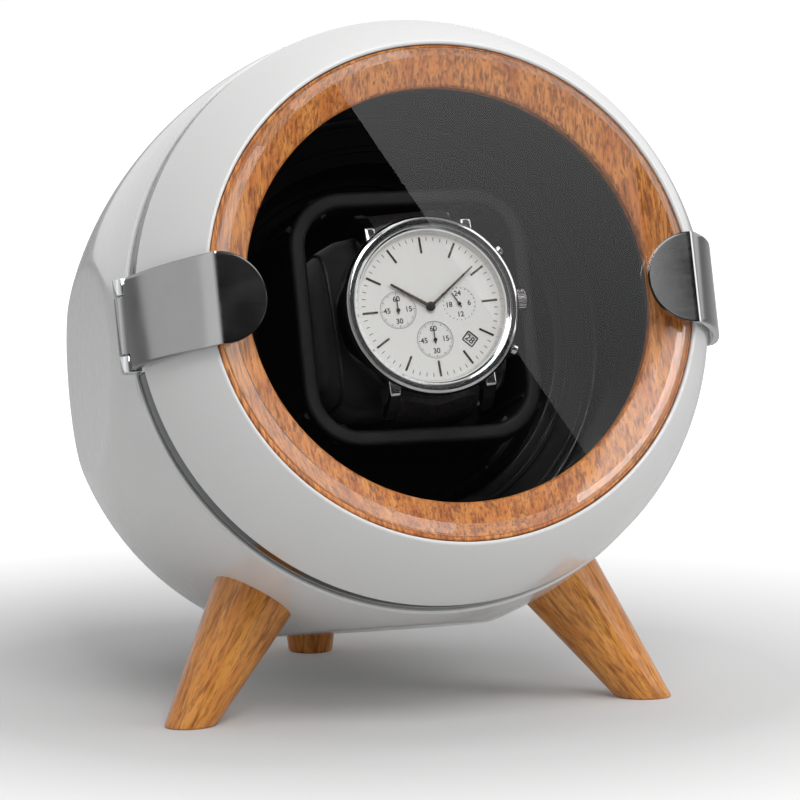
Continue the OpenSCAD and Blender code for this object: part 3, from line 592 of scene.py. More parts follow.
def facet_radius(z, angle):
    """How far out the nearest of the four flat facets lies."""
    quarter = math.pi / 2
    off = (angle + quarter / 2) % quarter - quarter / 2
    return (FACET_R - (-z - FACET_DEPTH) * FACET_SLOPE) / math.cos(off)


def barrel_radius(z):
    if z > -SHOULDER_DEPTH:
        return BARREL_CENTRE[0] + math.sqrt(BARREL_ARC**2 - (z - BARREL_CENTRE[1]) ** 2)
    return SHOULDER_CENTRE[0] + math.sqrt(max(SHOULDER_ARC**2 - (z - SHOULDER_CENTRE[1]) ** 2, 0))


def softer_least(a, b):
    """The smaller of two lengths, eased over a fraction of a millimetre where they cross."""
    sharpness = 5
    return min(a, b) - math.log1p(math.exp(-sharpness * abs(a - b))) / sharpness


def shell_radius(r, z, angle):
    inset = WALL if r < barrel_radius(z) - WALL / 2 else 0
    return softer_least(r, facet_radius(z, angle) - inset)


def rear_shell():
    front = BAND[1] - 0.05
    start = math.degrees(math.asin((BARREL_DEPTH + front) / BARREL_ARC))
    edge = 0.15
    outline = [(barrel_radius(front) - 0.5, front)]
    outline += arc(BARREL_CENTRE, BARREL_ARC, start - edge, -BARREL_LEAN, 70)
    outline += arc(SHOULDER_CENTRE, SHOULDER_ARC, -BARREL_LEAN, -SHOULDER_LEAN, 48)[1:]
    back = -CASE_DEPTH
    outline += [(33.8, back), (33.6, back + 0.2), (33.6, back + 1.2), (31, back + 1.2), (31, back + WALL)]
    outline += arc(SHOULDER_CENTRE, SHOULDER_ARC - WALL, -SHOULDER_LEAN + 1, -BARREL_LEAN, 16)
    outline += arc(BARREL_CENTRE, BARREL_ARC - WALL, -BARREL_LEAN, start, 16)[1:]
    return solid("rear_shell_look", [revolve(outline, 540, reshape=shell_radius)])


def trim_ring():
    outline = rounded([
        (65.6, BAND[1]), (68.4, BAND[1], 0.35), (68.4, BAND[0], 0.35), (65.6, BAND[0])
    ])
    gap = math.degrees(math.asin(11.2 / 68.4))
    return solid("trim_ring_look", [revolve(outline, 340, gap - 180, 180 - gap)])


def wood_ring():
    outline = rounded([
        (48, -0.4, 0.12), (48.5, 0.15, 0.25), (57.2, 3.4, 0.3), (57.2, -3), (48, -3, 0.3)
    ])
    return lathed("wood_ring", outline, 360)


def inner_bowl():
    outline = rounded([
        (60, -5.55), (48.6, -5.55, 0.4), (48.6, -7.5, 0.4), (52.6, -7.5), (52.6, -52, 1.2),
        (50.8, -52), (50.8, -51.4, 0.25), (49.8, -51.4, 0.25), (49.8, -52), (45.8, -52),
        (45.8, -51, 0.3), (44.4, -51, 0.3), (44.4, -52), (41.8, -52, 0.6), (41.8, -67.2, 1),
        (5, -67.2), (5, -69), (43.6, -69), (43.6, -53.8), (54.4, -53.8, 1), (54.4, -7.5), (60, -7.5)
    ])
    return lathed("inner_bowl", outline, 300)


stand_in("case", front_bezel, rear_shell)
place(trim_ring(), "case", "trim_ring", finish="dark_chrome")
stand_in("case", wood_ring, inner_bowl)

# ---------- the legs ----------

LEG_FOOT_R = 5.3
LEG_TAPER = math.tan(math.radians(7.4))
LEG_SPREAD = 32.4
LEG_DEPTH = 52.75
REAR_LEG_BACK = 110


def front_leg_frame(side):
    """The frame at a front leg's foot, with z up the leg to the axis of the case."""
    spoke = FACE @ shift(0, 0, -LEG_DEPTH * MM) @ turn(side * LEG_SPREAD) @ turn(90, "X")
    start, along = spoke.translation, spoke.to_3x3() @ Vector((0, 0, 1))
    length = -start.z / along.z
    return spoke @ shift(0, 0, length) @ turn(180, "X")


def leg(name, where, columns=72, rows=26):
    """A tapered leg whose foot lies flat on the ground and whose top ends inside the shell."""
    to_face = FACE.inverted() @ where

    def point(angle, height, inset=0.0):
        radius = LEG_FOOT_R + height * LEG_TAPER - inset
        return Vector((radius * math.cos(angle), radius * math.sin(angle), height))

    def ground(angle, inset):
        low, high = ((where @ (point(angle, h, inset) * MM)).z for h in (-20, 20))
        return -20 + 40 * low / (low - high)

    def top(angle):
        low, high = 0.0, 60.0
        for _ in range(24):
            middle = (low + high) / 2
            p = to_face @ (point(angle, middle) * MM) / MM
            around = math.atan2(p.y, p.x)
            skin = min(barrel_radius(max(p.z, -CASE_DEPTH)), facet_radius(p.z, around))
            if math.hypot(p.x, p.y) > skin or p.z < -CASE_DEPTH:
                low = middle
            else:
                high = middle
        return low + 1.5

    edge = 0.6
    points = []
    for k in range(columns):
        angle = 2 * math.pi * k / columns
        for step in (0, 30, 60, 90):
            inset = edge * (1 - math.sin(math.radians(step)))
            lift = edge * (1 - math.cos(math.radians(step)))
            points.append(point(angle, ground(angle, inset) + lift, inset))
        low, high = ground(angle, 0) + edge, top(angle)
        points += [point(angle, low + (high - low) * j / rows) for j in range(1, rows + 1)]
    size = rows + 4
    faces = grid_faces(columns, size, wrap_rows=True)
    faces += [tuple(k * size + end for k in range(columns)) for end in (0, size - 1)]
    return solid(name, [(points, faces)], where)


REAR_FOOT = (0, FACE_CENTRE.y + REAR_LEG_BACK * MM, 0)
for node, where in (
    ("leg_front_left", front_leg_frame(-1)), ("leg_front_right", front_leg_frame(1)),
    ("leg_rear", Matrix.Translation(REAR_FOOT))
):
    FINISHES[node] = wood(node + "_wood", where, "z", OAK_LIGHT, OAK_MEAN, OAK_DARK, 0.35)
    place(leg(node + "_look", where), "case", node, finish=node)

# ---------- the cover and its two clips ----------

COVER_R = 56.4
COVER_BACK = 3.9
COVER_TOP = 7.2
CLIP_HALF = 10.5
CLIP_THICK = 1.35
CLIP_GAP = 0.6
TONGUE_X = 56
HINGE = (70.2, -22.5)


def acrylic_cover():
    outline = [
        (0, COVER_BACK), (COVER_R - 0.3, COVER_BACK), (COVER_R, COVER_BACK + 0.3),
        (COVER_R, COVER_BACK + 0.6), (COVER_R - 2.5, COVER_TOP), (0, COVER_TOP)
    ]
    cover = lathed("acrylic_cover", outline, 300, crease=20)
    for side in (-1, 1):
        x = side * 52.9
        ear = box((x - 3, -9.4, COVER_BACK + 0.3), (x + 3, 9.4, COVER_TOP))
        boolean(cover, solid("ear", [ear]), "UNION")
    return smooth(cover, 20)


def clip_path(low):
    """Middle line of a clip from z = low up the plate, round the fold and along the tongue."""
    middle = BEZEL_ARC + CLIP_GAP + CLIP_THICK / 2
    fold = 0.9
    tongue_z = COVER_TOP + 0.02 + (CLIP_THICK - 0.02) / 2
    fold_z = tongue_z - fold
    reach = middle - fold
    fold_x = BEZEL_CENTRE.x + math.sqrt(reach**2 - (fold_z - BEZEL_CENTRE.y) ** 2)
    first = math.degrees(math.asin((low - BEZEL_CENTRE.y) / middle))
    bend = angle_to(BEZEL_CENTRE, (fold_x, fold_z))
    path = arc(BEZEL_CENTRE, middle, first, bend, 60)
    path += arc((fold_x, fold_z), fold, bend, 90, 8)[1:]
    return path, tongue_z


def clip_sheet(name, path, widths, tongue_z, side):
    """A bent metal strip with a half-round tongue, rounded at every edge."""
    rows = [(x, z, w) for (x, z), w in zip(path, widths)]
    for k in range(1, 23):
        angle = math.radians(90 * k / 23)
        rows.append((TONGUE_X - CLIP_HALF * math.sin(angle), tongue_z, CLIP_HALF * math.cos(angle)))
    columns = 29
    across = [2 * i / (columns - 1) - 1 for i in range(columns)]
    points = [(side * x, w * u, z) for x, z, w in rows for u in across]
    sheet = solid(name, [(points, grid_faces(len(rows), columns))])
    thick = sheet.modifiers.new("thickness", "SOLIDIFY")
    thick.thickness = CLIP_THICK * MM
    thick.offset = 0
    thick.use_even_offset = True
    baked(sheet)
    return bevelled(sheet, 0.3, 4, 50)


def corner_width(distance, radius, half):
    """Half width of a strip near an end with rounded corners."""
    if distance >= radius:
        return half
    return half - radius + math.sqrt(max(radius**2 - (radius - distance) ** 2, 0))


def hinge_clip():
    knuckle_half = 6.7
    plate_end = -19.4
    path, tongue_z = clip_path(-21.6)
    widths = [
        knuckle_half if z < plate_end else corner_width(z - plate_end, 1.5, CLIP_HALF)
        for _, z in path
    ]
    clip = clip_sheet("hinge_clip_look", path, widths, tongue_z, -1)
    barrel = rounded([
        (0.86, -knuckle_half, 0.15), (2, -knuckle_half, 0.3), (2, knuckle_half, 0.3),
        (0.86, knuckle_half, 0.15)
    ])
    upright = shift(-HINGE[0], 0, HINGE[1]) @ turn(90, "X")
    knuckle = solid("knuckle", [moved(revolve(barrel, 48), upright)])
    return boolean(clip, knuckle, "UNION")


def latch_clip():
    lip = rounded([(72.15, -24.0), (70.17, -24.0, 0.7), (70.17, -21)])[:-1]
    path, tongue_z = clip_path(-20.5)
    path = lip + path
    widths, run = [], 0.0
    for k, p in enumerate(path):
        run += math.dist(p, path[k - 1]) if k else 0
        widths.append(corner_width(run, 2.2, CLIP_HALF))
    return clip_sheet("latch_clip_look", path, widths, tongue_z, 1)


stand_in("door", acrylic_cover, hinge_clip, latch_clip)

# ---------- the rotor ----------


def rotor_disc():
    outline = rounded([
        (3.01, -66), (40.3, -66, 0.3), (40.3, -61, 0.6), (38.3, -61, 0.6), (38.3, -63.5, 0.4),
        (3.01, -63.5)
    ])
    return lathed("rotor_disc", outline, 240)


def holder_frame():
    low, rim, top = -63.48, -28.2, -26
    section = rounded([
        (0, low), (2.5, low), (2.5, rim, 0.3), (3.7, rim, 0.5), (3.7, top, 1.1), (0, top, 1.1)
    ])
    parts = [sweep_rect(50, 52, 9.5, section)]
    for k in range(8):
        lean = turn(90 * (k // 2) + 45 + (7 if k % 2 else -7))
        parts.append(moved(box((31, -0.8, low), (36, 0.8, rim + 0.1)), lean))
    return bevelled(solid("holder_frame_look", parts), 0.2, 2)


stand_in("rotor", rotor_disc, holder_frame)

# ---------- the cushion ----------

CUSHION_HALF = Vector((23.4, 22, 16))
PILLOW = WATCH @ shift(0, 0, -40 * MM)


def superellipsoid(half, power, cuts):
    """A rounded block: a cube's grid pushed out to a superellipsoid, in mm."""
    mesh = bmesh.new()
    bmesh.ops.create_cube(mesh, size=2)
    bmesh.ops.subdivide_edges(mesh, edges=mesh.edges, cuts=cuts, use_grid_fill=True)
    points = []
    for vertex in mesh.verts:
        size = sum(abs(c) ** power for c in vertex.co) ** (1 / power)
        points.append([c / size * h for c, h in zip(vertex.co, half)])
    faces = [tuple(v.index for v in face.verts) for face in mesh.faces]
    mesh.free()
    return points, faces


def puffed(obj, voxel, pressure, cap):
    """Swells a closed mesh as stuffed cloth; no point moves further than the cap."""
    remesh = obj.modifiers.new("remesh", "REMESH")
    remesh.mode = "VOXEL"
    remesh.voxel_size = voxel * MM
    baked(obj)
    home = [v.co.copy() for v in obj.data.vertices]
    cloth = obj.modifiers.new("cloth", "CLOTH").settings
    cloth.use_pressure = True
    cloth.uniform_pressure_force = pressure
    cloth.effector_weights.gravity = 0
    for moment in range(1, 21):
        bpy.context.scene.frame_set(moment)
    baked(obj)
    bpy.context.scene.frame_set(1)
    for vertex, start in zip(obj.data.vertices, home):
        swell = vertex.co - start
        vertex.co = start + swell * min(1, cap * MM / max(swell.length, 1e-9))
    return obj


def subdivided(obj):
    obj.modifiers.new("subdivision", "SUBSURF").render_levels = 1
    obj.modifiers["subdivision"].levels = 1
    return smooth(baked(obj), 80)


def cushion():
    """A stuffed block, drawn in at its waist where the strap holds it."""
    shape = superellipsoid(CUSHION_HALF * 0.955, 5, 14)
    pillow = subdivided(puffed(solid("cushion_pillow", [shape], PILLOW, 80), 3, 4.0, 1.4))
    for vertex in pillow.data.vertices:
        p = PILLOW.inverted() @ vertex.co / MM
        waist = 1 - min(abs(p.x) / 13, 1) ** 4
        limit = [CUSHION_HALF[k] - (0, 0.5, 0.3)[k] * waist for k in range(3)]
        vertex.co = PILLOW @ (Vector([max(-m, min(m, c)) for c, m in zip(p, limit)]) * MM)
    return pillow


def piping(name, pillow, x):
    """A welt cord sewn round the cushion where its side panel starts."""
    loop = []
    for k in range(96):
        way = Vector((0, math.cos(math.tau * k / 96), math.sin(math.tau * k / 96)))
        outside = PILLOW @ ((Vector((x, 0, 0)) + way * 40) * MM)
        spot = pillow.ray_cast(outside, PILLOW.to_3x3() @ -way)[1]
        loop.append((PILLOW.inverted() @ spot / MM - way * 0.1, way))
    radius, sides = 0.45, 8
    points = []
    for centre, way in loop:
        for j in range(sides):
            round_cord = Vector((1, 0, 0)) * math.sin(math.tau * j / sides)
            points.append(centre + radius * (way * math.cos(math.tau * j / sides) + round_cord))
    cord = (points, grid_faces(len(loop), sides, wrap_rows=True, wrap_columns=True))
    return solid(name, [cord], PILLOW, 80)


pillow = cushion()
place(pillow, "payload", "cushion")
for label, x in (("left", -19.5), ("right", 19.5)):
    place(piping("cushion_welt_" + label, pillow, x), "payload", finish="strap")

# ---------- the strap ----------

STRAP_HALF = 10
STRAP_THICK = 2.1
STRAP_GROOVE = 0.8
STRAP_EDGE = (23.35, -17.65, -57.35)
STRAP_CORNER = 10.45
CASE_CLEAR = 21.25


def strap_point(run):
    """A place on the strap's middle line and its outward normal, in the y-z plane."""
    y, front, back = STRAP_EDGE
    bend = STRAP_CORNER * math.pi / 2
    side = front - back - 2 * STRAP_CORNER
    centre_y = y - STRAP_CORNER
    if run < bend:
        angle = 90 - math.degrees(run / STRAP_CORNER)
        return polar((centre_y, front - STRAP_CORNER), STRAP_CORNER, angle), polar((0, 0), 1, angle)
    if run < bend + side:
        return (y, front - STRAP_CORNER - (run - bend)), (1, 0)
    if run < 2 * bend + side:
        angle = -math.degrees((run - bend - side) / STRAP_CORNER)
        return polar((centre_y, back + STRAP_CORNER), STRAP_CORNER, angle), polar((0, 0), 1, angle)
    return (centre_y - (run - 2 * bend - side), back), (0, -1)


STRAP_RUN = (
    STRAP_CORNER * math.pi + STRAP_EDGE[1] - STRAP_EDGE[2] - 2 * STRAP_CORNER
    + STRAP_EDGE[0] - STRAP_CORNER - 0.15
)


def strap_start(x):
    """Where the strap comes out from the watch case, so far from its middle."""
    reach = math.sqrt(CASE_CLEAR**2 - x * x) - (STRAP_EDGE[0] - STRAP_CORNER)
    return STRAP_CORNER * math.asin(reach / STRAP_CORNER)


def strap(name, side):
    """Half of the strap: a padded leather band from the lugs to the middle of the back."""
    half = STRAP_THICK / 2
    across = (0.86, STRAP_GROOVE, 0.74, 0, -0.74, -STRAP_GROOVE, -0.86)
    top = [(STRAP_HALF * x, half - (0.12 if abs(x) == STRAP_GROOVE else 0)) for x in across]
    section = rounded([
        (-STRAP_HALF, -half, 0.3), (STRAP_HALF, -half, 0.3), (STRAP_HALF, half, 0.8), *top,
        (-STRAP_HALF, half, 0.8)
    ], 4)
    count = 70
    points = []
    for j in range(count + 1):
        for x, lift in section:
            start = strap_start(x)
            (y, z), (ny, nz) = strap_point(start + (STRAP_RUN - start) * j / count)
            points.append((x, side * (y + ny * lift), z + nz * lift))
    size = len(section)
    faces = grid_faces(count + 1, size, wrap_columns=True)
    faces += [tuple(range(size)), tuple(range(count * size, (count + 1) * size))]
    return solid(name, [(points, faces)], WATCH, 50)


def stitching(name, side):
    """Saddle stitches in the groove along both edges of a strap half."""
    mesh = bmesh.new()
    pitch, length, thread = 2.6, 0.85, 0.2
    for x in (-STRAP_HALF * STRAP_GROOVE, STRAP_HALF * STRAP_GROOVE):
        run = strap_start(x) + 2.5
        while run < STRAP_RUN - 2:
            (y, z), (ny, nz) = strap_point(run)
            lift = STRAP_THICK / 2 - 0.06
            out = Vector((0, side * ny, nz))
            along = Vector((1, 0, 0)).cross(out)
            where = frame_from(Vector((1, 0, 0)), along, out, Vector((x, side * y, z)) + out * lift)
            size = Matrix.Diagonal((thread, length, thread, 1))
            whole = WATCH @ Matrix.Scale(MM, 4) @ where @ size
            bmesh.ops.create_uvsphere(mesh, u_segments=8, v_segments=6, radius=1, matrix=whole)
            run += pitch
    data = bpy.data.meshes.new(name)
    mesh.to_mesh(data)
    mesh.free()
    return smooth(new_object(name, data), 80)


for label, side in (("upper", 1), ("lower", -1)):
    place(strap(f"strap_{label}_look", side), "payload", "strap_" + label)
    place(stitching("strap_stitches_" + label, side), "payload", finish="thread")
place(refined("strap_buckle", 0.3), "payload", "strap_buckle")

# ---------- the watch ----------

WATCH_R = 21
CASE_TOP = -14.6
CASE_BOTTOM = -22.5
BEZEL_TOP = -13.2
CRYSTAL_TOP = -12.8
DIAL_Z = -16.4
BUTTON_Z = -18.6
STEM_R = 0.8
PUSHER_ANGLE = 31
LEFT_DIAL = (-7.7, 0)
LOW_DIAL = (0, -7.7)
RIGHT_DIAL = (7.1, 0)
HOUR_ANGLE = 304.5
MINUTE_ANGLE = 54
DAY_ANGLE = 332
DATE_AT = 11.85
DATE_ANGLE = 135
COUNTER_R = 4.3
DAY_COUNTER_R = 4.1
SINK = 0.12
PRINT = 0.02
LINE = 0.09


def watch_case():
    ring = rounded([
        (18, CASE_BOTTOM, 0.2), (19.9, CASE_BOTTOM, 0.4), (20.7, CASE_BOTTOM + 1.2, 0.5),
        (20.8, CASE_TOP - 1, 0.6), (20.5, CASE_TOP, 0.25), (18, CASE_TOP)
    ])
    case = lathed("watch_case", ring, 240, WATCH)
    lug = rounded([
        (14, CASE_TOP - 0.4), (19.4, CASE_TOP - 0.6, 1.2), (22.4, -18.4, 2), (23.9, -21.6, 1.5),
        (24.1, -24.6, 0.5), (21.4, -24.9, 0.5), (19.6, -23.2, 1), (14, CASE_BOTTOM + 0.2)
    ])
    lugs = []
    for x in (-1, 1):
        for y in (-1, 1):
            part = prism(lug, x * 11.6 - 1.3, x * 11.6 + 1.3)
            lugs.append(([(px, y * py, pz) for py, pz, px in part[0]], part[1]))
    horns = bevelled(solid("lugs", lugs, WATCH), 0.35, 4, 50)
    return boolean(case, horns, "UNION")


def watch_bezel():
    ring = rounded([
        (18.85, CASE_TOP + 0.02), (20.7, CASE_TOP + 0.02, 0.1), (WATCH_R, CASE_TOP + 0.5, 0.3),
        (20.5, BEZEL_TOP - 0.2, 0.35), (19.9, BEZEL_TOP, 0.2), (18.85, BEZEL_TOP, 0.1)
    ])
    return lathed("watch_bezel", ring, 300, WATCH)


def watch_crystal():
    glass = [
        (0, CRYSTAL_TOP - 1.5), (18.8, CRYSTAL_TOP - 1.5), (18.8, CRYSTAL_TOP - 0.5),
        (18.3, CRYSTAL_TOP), (0, CRYSTAL_TOP)
    ]
    return lathed("watch_crystal", glass, 240, WATCH, 20)


def watch_dial():
    """The dial plate with its sloping edge ring, its window and three sunk counters."""
    plate = [(0, DIAL_Z - 0.5), (17.9, DIAL_Z - 0.5), (17.9, DIAL_Z + 1.9), (17.55, DIAL_Z + 1.9),
             (17, DIAL_Z), (0, DIAL_Z)]
    dial = lathed("watch_dial", plate, 240, WATCH, 15)
    for at, radius in ((LEFT_DIAL, COUNTER_R), (LOW_DIAL, COUNTER_R), (RIGHT_DIAL, DAY_COUNTER_R)):
        well = [(0, DIAL_Z - SINK), (radius - 0.12, DIAL_Z - SINK), (radius, DIAL_Z + 0.1),
                (0, DIAL_Z + 0.1)]
        tool = moved(revolve(well, 96), shift(*at))
        boolean(dial, solid("well", [tool], WATCH), "DIFFERENCE")
    window = box((DATE_AT - 1.25, -1.1, DIAL_Z - 0.35), (DATE_AT + 1.25, 1.1, DIAL_Z + 1))
    return boolean(dial, solid("window", [moved(window, turn(90 - DATE_ANGLE))], WATCH), "DIFFERENCE")


def tick(centre, near, far, width, degrees, low, high):
    """A printed line along a spoke, clockwise from twelve."""
    spoke = shift(*centre) @ turn(-degrees)
    return moved(box((-width / 2, near, low), (width / 2, far, high)), spoke)


def clockwise(centre, radius, degrees):
    """A point round a centre, clockwise from twelve."""
    return polar(centre, radius, 90 - degrees)


def number(text, height, at, z, degrees=0):
    """A number in the built-in face, centred at a place on the dial."""
    curve = bpy.data.curves.new("number", "FONT")
    curve.body = text
    curve.size = height * 1.38
    curve.align_x = "CENTER"
    curve.align_y = "CENTER"
    curve.extrude = PRINT / 2
    curve.offset = height * 0.035
    obj = new_object("number", curve)
    bpy.context.view_layer.update()
    mesh = bpy.data.meshes.new_from_object(obj)
    points = [tuple(v.co) for v in mesh.vertices]
    faces = [tuple(face.vertices) for face in mesh.polygons]
    bpy.data.objects.remove(obj)
    return moved((points, faces), shift(*at, z) @ turn(-degrees))


def dial_print():
    """Minute ticks, counter scales and their numbers, each a thin raised layer of ink."""
    low, high = DIAL_Z - 0.01, DIAL_Z + PRINT
    sunk = DIAL_Z - SINK
    parts = []
    for k in range(60):
        if k % 5:
            parts.append(tick((0, 0), 15.4, 16.3, 0.17, 6 * k, low, high))
    for at in (LEFT_DIAL, LOW_DIAL):
        rim = tube(COUNTER_R - LINE / 2, COUNTER_R + LINE / 2, low, high, 120)
        parts.append(moved(rim, shift(*at)))
        for k in range(60):
            long = 0.6 if k % 5 == 0 else 0.35
            width = 0.14 if k % 5 == 0 else 0.07
            parts.append(tick(at, 4.1 - long, 4.1, width, 6 * k, sunk - 0.01, sunk + PRINT))
        for k, text in enumerate(("60", "15", "30", "45")):
            parts.append(number(text, 1.25, clockwise(at, 2.6, 90 * k), sunk))
    dot = tube(0, 0.13, sunk - 0.01, sunk + PRINT, 12)
    for k in range(24):
        parts.append(moved(dot, shift(*clockwise(RIGHT_DIAL, 3.75, 15 * k))))
    for k, text in enumerate(("24", "6", "12", "18")):
        parts.append(number(text, 1.2, clockwise(RIGHT_DIAL, 2.45, 90 * k), sunk))
    return solid("dial_print", parts, WATCH)


def edge_scale():
    """Fifth-of-a-minute ticks on the dial's sloping edge ring."""
    parts = []
    slope = math.degrees(math.atan2(1.9, 0.55))
    for k in range(240):
        where = turn(-1.5 * k) @ shift(0, 17, DIAL_Z) @ turn(slope, "X")
        long = 1.7 if k % 20 == 0 else 1.2 if k % 4 == 0 else 0.7
        parts.append(moved(box((-0.035, 1.9 - long, -0.01), (0.035, 1.9, 0.015)), where))
    return solid("edge_scale", parts, WATCH)


def date_disc():
    plate = box((DATE_AT - 1.6, -1.4, DIAL_Z - 0.48), (DATE_AT + 1.6, 1.4, DIAL_Z - 0.36))
    return solid("date_disc", [moved(plate, turn(90 - DATE_ANGLE))], WATCH)


def date_number():
    spot = clockwise((0, 0), DATE_AT, DATE_ANGLE)
    return solid("date_number", [number("28", 1.6, spot, DIAL_Z - 0.35, DATE_ANGLE - 90)], WATCH)


def date_frame():
    """A bevelled frame round the date window."""
    section = rounded([(0, DIAL_Z), (0.32, DIAL_Z), (0.22, DIAL_Z + 0.14), (0.06, DIAL_Z + 0.14)])
    border = moved(sweep_rect(2.5, 2.2, 0.05, section, 2), turn(90 - DATE_ANGLE) @ shift(DATE_AT, 0))
    return solid("date_frame", [border], WATCH, 25)


def hour_markers():
    parts = [ridge_bar(12.6, 16.3, 0.5, 0.5, DIAL_Z, 0.22, 30 * k) for k in range(12)]
    return solid("hour_markers_look", parts, WATCH, 15)


def hub(radius, low, high, at=(0, 0), bore=0.0):
    cap = rounded([(bore, low), (radius, low), (radius, high, 0.12), (bore, high)])
    return moved(revolve(cap, 48), shift(*at))


def hour_hand():
    parts = [
        ridge_bar(0.75, 10.6, 0.8, 0.55, -15.75, 0.2, HOUR_ANGLE),
        hub(1.1, -15.75, -15.5, bore=0.66), hub(0.95, -16.8, -15.7, bore=0.66)
    ]
    return solid("hour_hand_look", parts, WATCH, 15)


def minute_hand():
    parts = [
        ridge_bar(0, 13.8, 0.7, 0.38, -15.2, 0.2, MINUTE_ANGLE),
        hub(0.8, -15.2, -14.85), hub(0.6, -17.6, -15.1)
    ]
    return solid("minute_hand_look", parts, WATCH, 15)


def small_hand(name, at, degrees):
    bar = ridge_bar(-0.9, 3.1, 0.3, 0.18, -16.28, 0.14, degrees)
    parts = [moved(bar, shift(*at)), hub(0.45, -16.28, -16.06, at), hub(0.34, -17.6, -16.2, at)]
    return solid(name, parts, WATCH, 15)


def crown():
    """A fluted crown with rounded ends, on its stem."""
    flutes = 24

    def fluted(r, z, angle):
        return r - 0.13 * (0.5 - 0.5 * math.cos(flutes * angle)) if r > 2.4 and 21.3 < z < 23.7 else r

    head = rounded([
        (0, 21.1), (2.45, 21.1, 0.2), (2.7, 21.45, 0.1), (2.7, 23.55, 0.1), (2.4, 23.9, 0.3), (0, 23.9)
    ])
    parts = [revolve(head, 288, reshape=fluted), tube(0, STEM_R, 16, 21.2)]
    return solid("crown_look", parts, watch_spoke(0, BUTTON_Z), 30)


def pusher(name, degrees):
    cap = rounded([
        (0, 21.8), (1.7, 21.8, 0.15), (1.7, 23, 0.2), (1.3, 23.4, 0.2), (0, 23.4)
    ])
    parts = [revolve(cap, 64), tube(0, STEM_R, 17, 21.9)]
    return solid(name, parts, watch_spoke(degrees, BUTTON_Z), 30)


stand_in("payload", watch_case, watch_bezel, watch_crystal, watch_dial, hour_markers)
for make, finish in (
    (dial_print, "print"), (edge_scale, "print"), (date_disc, "dial"), (date_number, "print"),
    (date_frame, "bronze")
):
    place(make(), "payload", finish=finish)
for make in (hour_hand, minute_hand):
    stand_in(make.__name__ + "_body", make)
for node, at, degrees in (
    ("seconds_hand", LEFT_DIAL, 0), ("counter_hand", LOW_DIAL, 0), ("day_hand", RIGHT_DIAL, DAY_ANGLE)
):
    place(small_hand(node + "_look", at, degrees), node + "_body", node)
stand_in("crown_body", crown)
for node, degrees in (("pusher_upper", PUSHER_ANGLE), ("pusher_lower", -PUSHER_ANGLE)):
    place(pusher(node + "_look", degrees), node + "_body", node)

# ---------- the back and the hinge ----------

for node, body, width in (
    ("back_panel", "case", 0.3), ("switch_housing", "case", 0.25), ("dc_jack", "case", 0.2),
    ("hinge_bracket", "case", 0.15), ("mode_knob", "knob", 0.12), ("power_rocker", "rocker", 0.25)
):
    place(refined(node, width), body, node)

# ---------- the studio ----------

# The camera: where it stands, and the way it looks in degrees
CAMERA_AT = Vector((-448.1, -1417.4, 269.2)) * MM
CAMERA_YAW = 17.81
CAMERA_PITCH = 7.7
CAMERA_ROLL = -0.39
CAMERA_LENS = 285.98


def camera():
    data = bpy.data.cameras.new("camera")
    data.lens = CAMERA_LENS
    data.sensor_width = 36
    data.clip_start = 0.05
    data.clip_end = 30
    looking = turn(-CAMERA_YAW) @ turn(90 - CAMERA_PITCH, "X") @ turn(CAMERA_ROLL)
    where = Matrix.Translation(CAMERA_AT) @ looking
    bpy.context.scene.camera = new_object("camera", data, where)


def lamp(name, at, size, power):
    """A soft box at a place in metres, turned to the object's middle."""
    data = bpy.data.lights.new(name, "AREA")
    data.shape = "RECTANGLE"
    data.size, data.size_y = size
    data.energy = power
    made = new_object(name, data, Matrix.Translation(at))
    made.rotation_euler = (MIDDLE - Vector(at)).to_track_quat("-Z", "Y").to_euler()


def studio_sheet(name, corners, material):
    """A flat piece of the studio."""
    mesh = bpy.data.meshes.new(name)
    mesh.from_pydata(corners, [], [tuple(range(len(corners)))])
    mesh.materials.append(material)
    made = new_object(name, mesh)
    return made


def glare_paint():
    """A glow that grows towards the top of the card."""
    material = bpy.data.materials.new("glare_card")
    material.use_nodes = True
    tree = material.node_tree
    tree.nodes.remove(tree.nodes["Principled BSDF"])
    where = add_node(tree, "ShaderNodeTexCoord").outputs["Generated"]
    height = add_node(tree, "ShaderNodeSeparateXYZ", {0: where}).outputs["Z"]
    fade = {"Value": height, "To Min": 0.35, "To Max": 1.9}
    strength = add_node(tree, "ShaderNodeMapRange", fade).outputs["Result"]
    emission = add_node(tree, "ShaderNodeEmission", {"Strength": strength})
    tree.links.new(emission.outputs["Emission"], tree.nodes["Material Output"].inputs["Surface"])
    return material


def glare_card():
    """A card that only shows as the grey sheen on the right of the cover.

    Each corner stands where the cover's plane mirrors one of three points to the camera.
    """
    corners = []
    for x, y in GLARE_ON_COVER:
        on_cover = FACE @ (Vector((x, y, COVER_TOP)) * MM)
        ray = (on_cover - CAMERA_AT).normalized()
        bounced = ray - 2 * ray.dot(OUTWARD) * OUTWARD
        corners.append(on_cover + bounced * GLARE_AWAY)
    card = studio_sheet("glare_card", corners, glare_paint())
    for ray in ("camera", "diffuse", "shadow", "transmission", "volume_scatter"):
        setattr(card, "visible_" + ray, False)


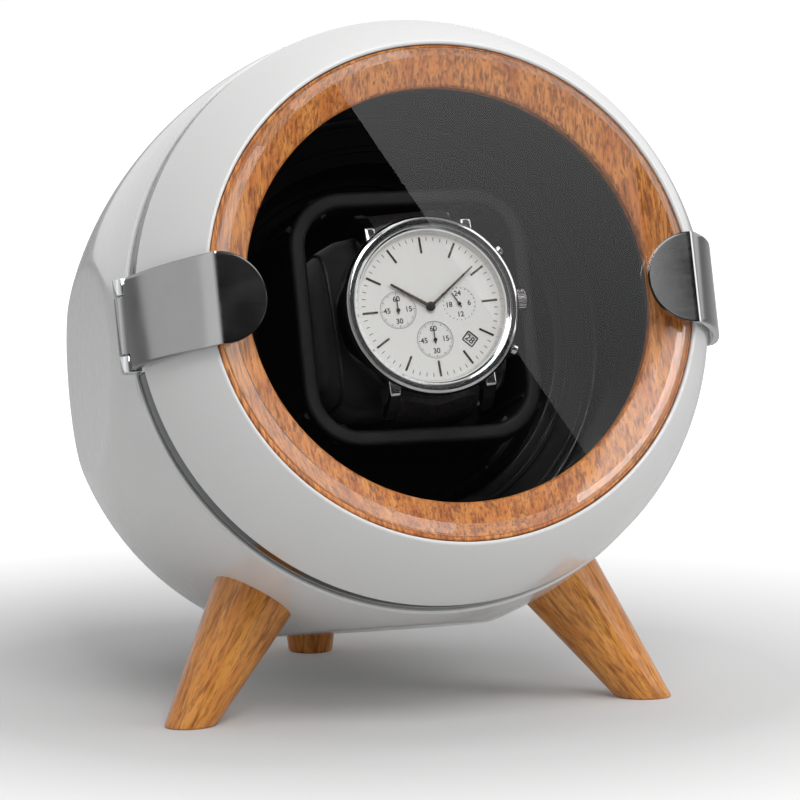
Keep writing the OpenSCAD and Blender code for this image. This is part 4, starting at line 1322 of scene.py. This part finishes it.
def floor():
    paint = Paint("floor_paper", Specular_IOR_Level=0.1)
    cloud = paint.noise(paint.millimetres(), 0.004, 2)
    paint.colour(cloud, (0.62, 0.62, 0.62), (0.64, 0.64, 0.64))
    paint.shader.inputs["Roughness"].default_value = 0.9
    paint.shader.inputs["Emission Color"].default_value = (1, 1, 1, 1)
    # Painted light and shade: the floor glows for camera rays only, faintly near the object and brighter
    # further out, so a painted shade lies round the object's base.
    seen = paint.node("ShaderNodeLightPath").outputs["Is Camera Ray"]
    place_on_floor = paint.node("ShaderNodeTexCoord").outputs["Object"]
    away = paint.node("ShaderNodeVectorMath", {0: place_on_floor}, operation="LENGTH")
    light = paint.spread(away.outputs["Value"], *PAINTED_GLOW_SPAN, *FLOOR_PAINTED_GLOW)
    paint.use(Emission_Strength=paint.calc("MULTIPLY", seen, light))
    corners = [(x * FLOOR_HALF, y * FLOOR_HALF, 0) for x, y in ((-1, -1), (1, -1), (1, 1), (-1, 1))]
    studio_sheet("floor", corners, paint.material)


def world():
    """Even white light, but dark in the mirror wherever the studio's front is unlit."""
    made = bpy.data.worlds.new("studio")
    bpy.context.scene.world = made
    made.use_nodes = True
    tree = made.node_tree
    towards = add_node(tree, "ShaderNodeTexCoord").outputs["Generated"]
    facing = add_node(tree, "ShaderNodeVectorMath", {0: towards, 1: DARK_WAY}, operation="DOT_PRODUCT")
    mirrored = add_node(tree, "ShaderNodeMapRange", {
        "Value": facing.outputs["Value"], "From Min": 0.93, "From Max": 0.55, "To Min": 0.01,
        "To Max": 0.85
    })
    glossy = add_node(tree, "ShaderNodeLightPath").outputs["Is Glossy Ray"]
    lights = {0: glossy, 2: WORLD_LIGHT, 3: mirrored.outputs["Result"]}
    strength = add_node(tree, "ShaderNodeMix", lights).outputs[0]
    background = tree.nodes["Background"]
    background.inputs["Color"].default_value = (1, 1, 1, 1)
    tree.links.new(strength, background.inputs["Strength"])


# Studio values, in metres and watts
FLOOR_HALF = 8
# The floor's painted glow rises across this span of distance from the object's middle, which leaves a
# painted shade round its base.
PAINTED_GLOW_SPAN = (0.1, 0.3)
FLOOR_PAINTED_GLOW = (0.06, 0.75)
WORLD_LIGHT = 0.27
DARK_WAY = (0.31, -0.834, 0.457)
GLARE_ON_COVER = ((-35, 66.8), (45.3, 66.8), (45.3, -72.9))
GLARE_AWAY = 0.7
MIDDLE = Vector((0, 0, 0.09))

camera()
world()
floor()
glare_card()
lamp("overhead", (0.1, 0.1, 1.7), (1.6, 1.6), 11)
lamp("key_right", (1.1, -0.9, 0.9), (0.8, 1.2), 8)
lamp("key_front", (-0.1, -1.3, 1.35), (0.7, 0.7), 13)
lamp("fill_left", (-1.4, -0.3, 0.7), (0.8, 1.2), 1)
bpy.context.scene.view_settings.view_transform = "Standard"
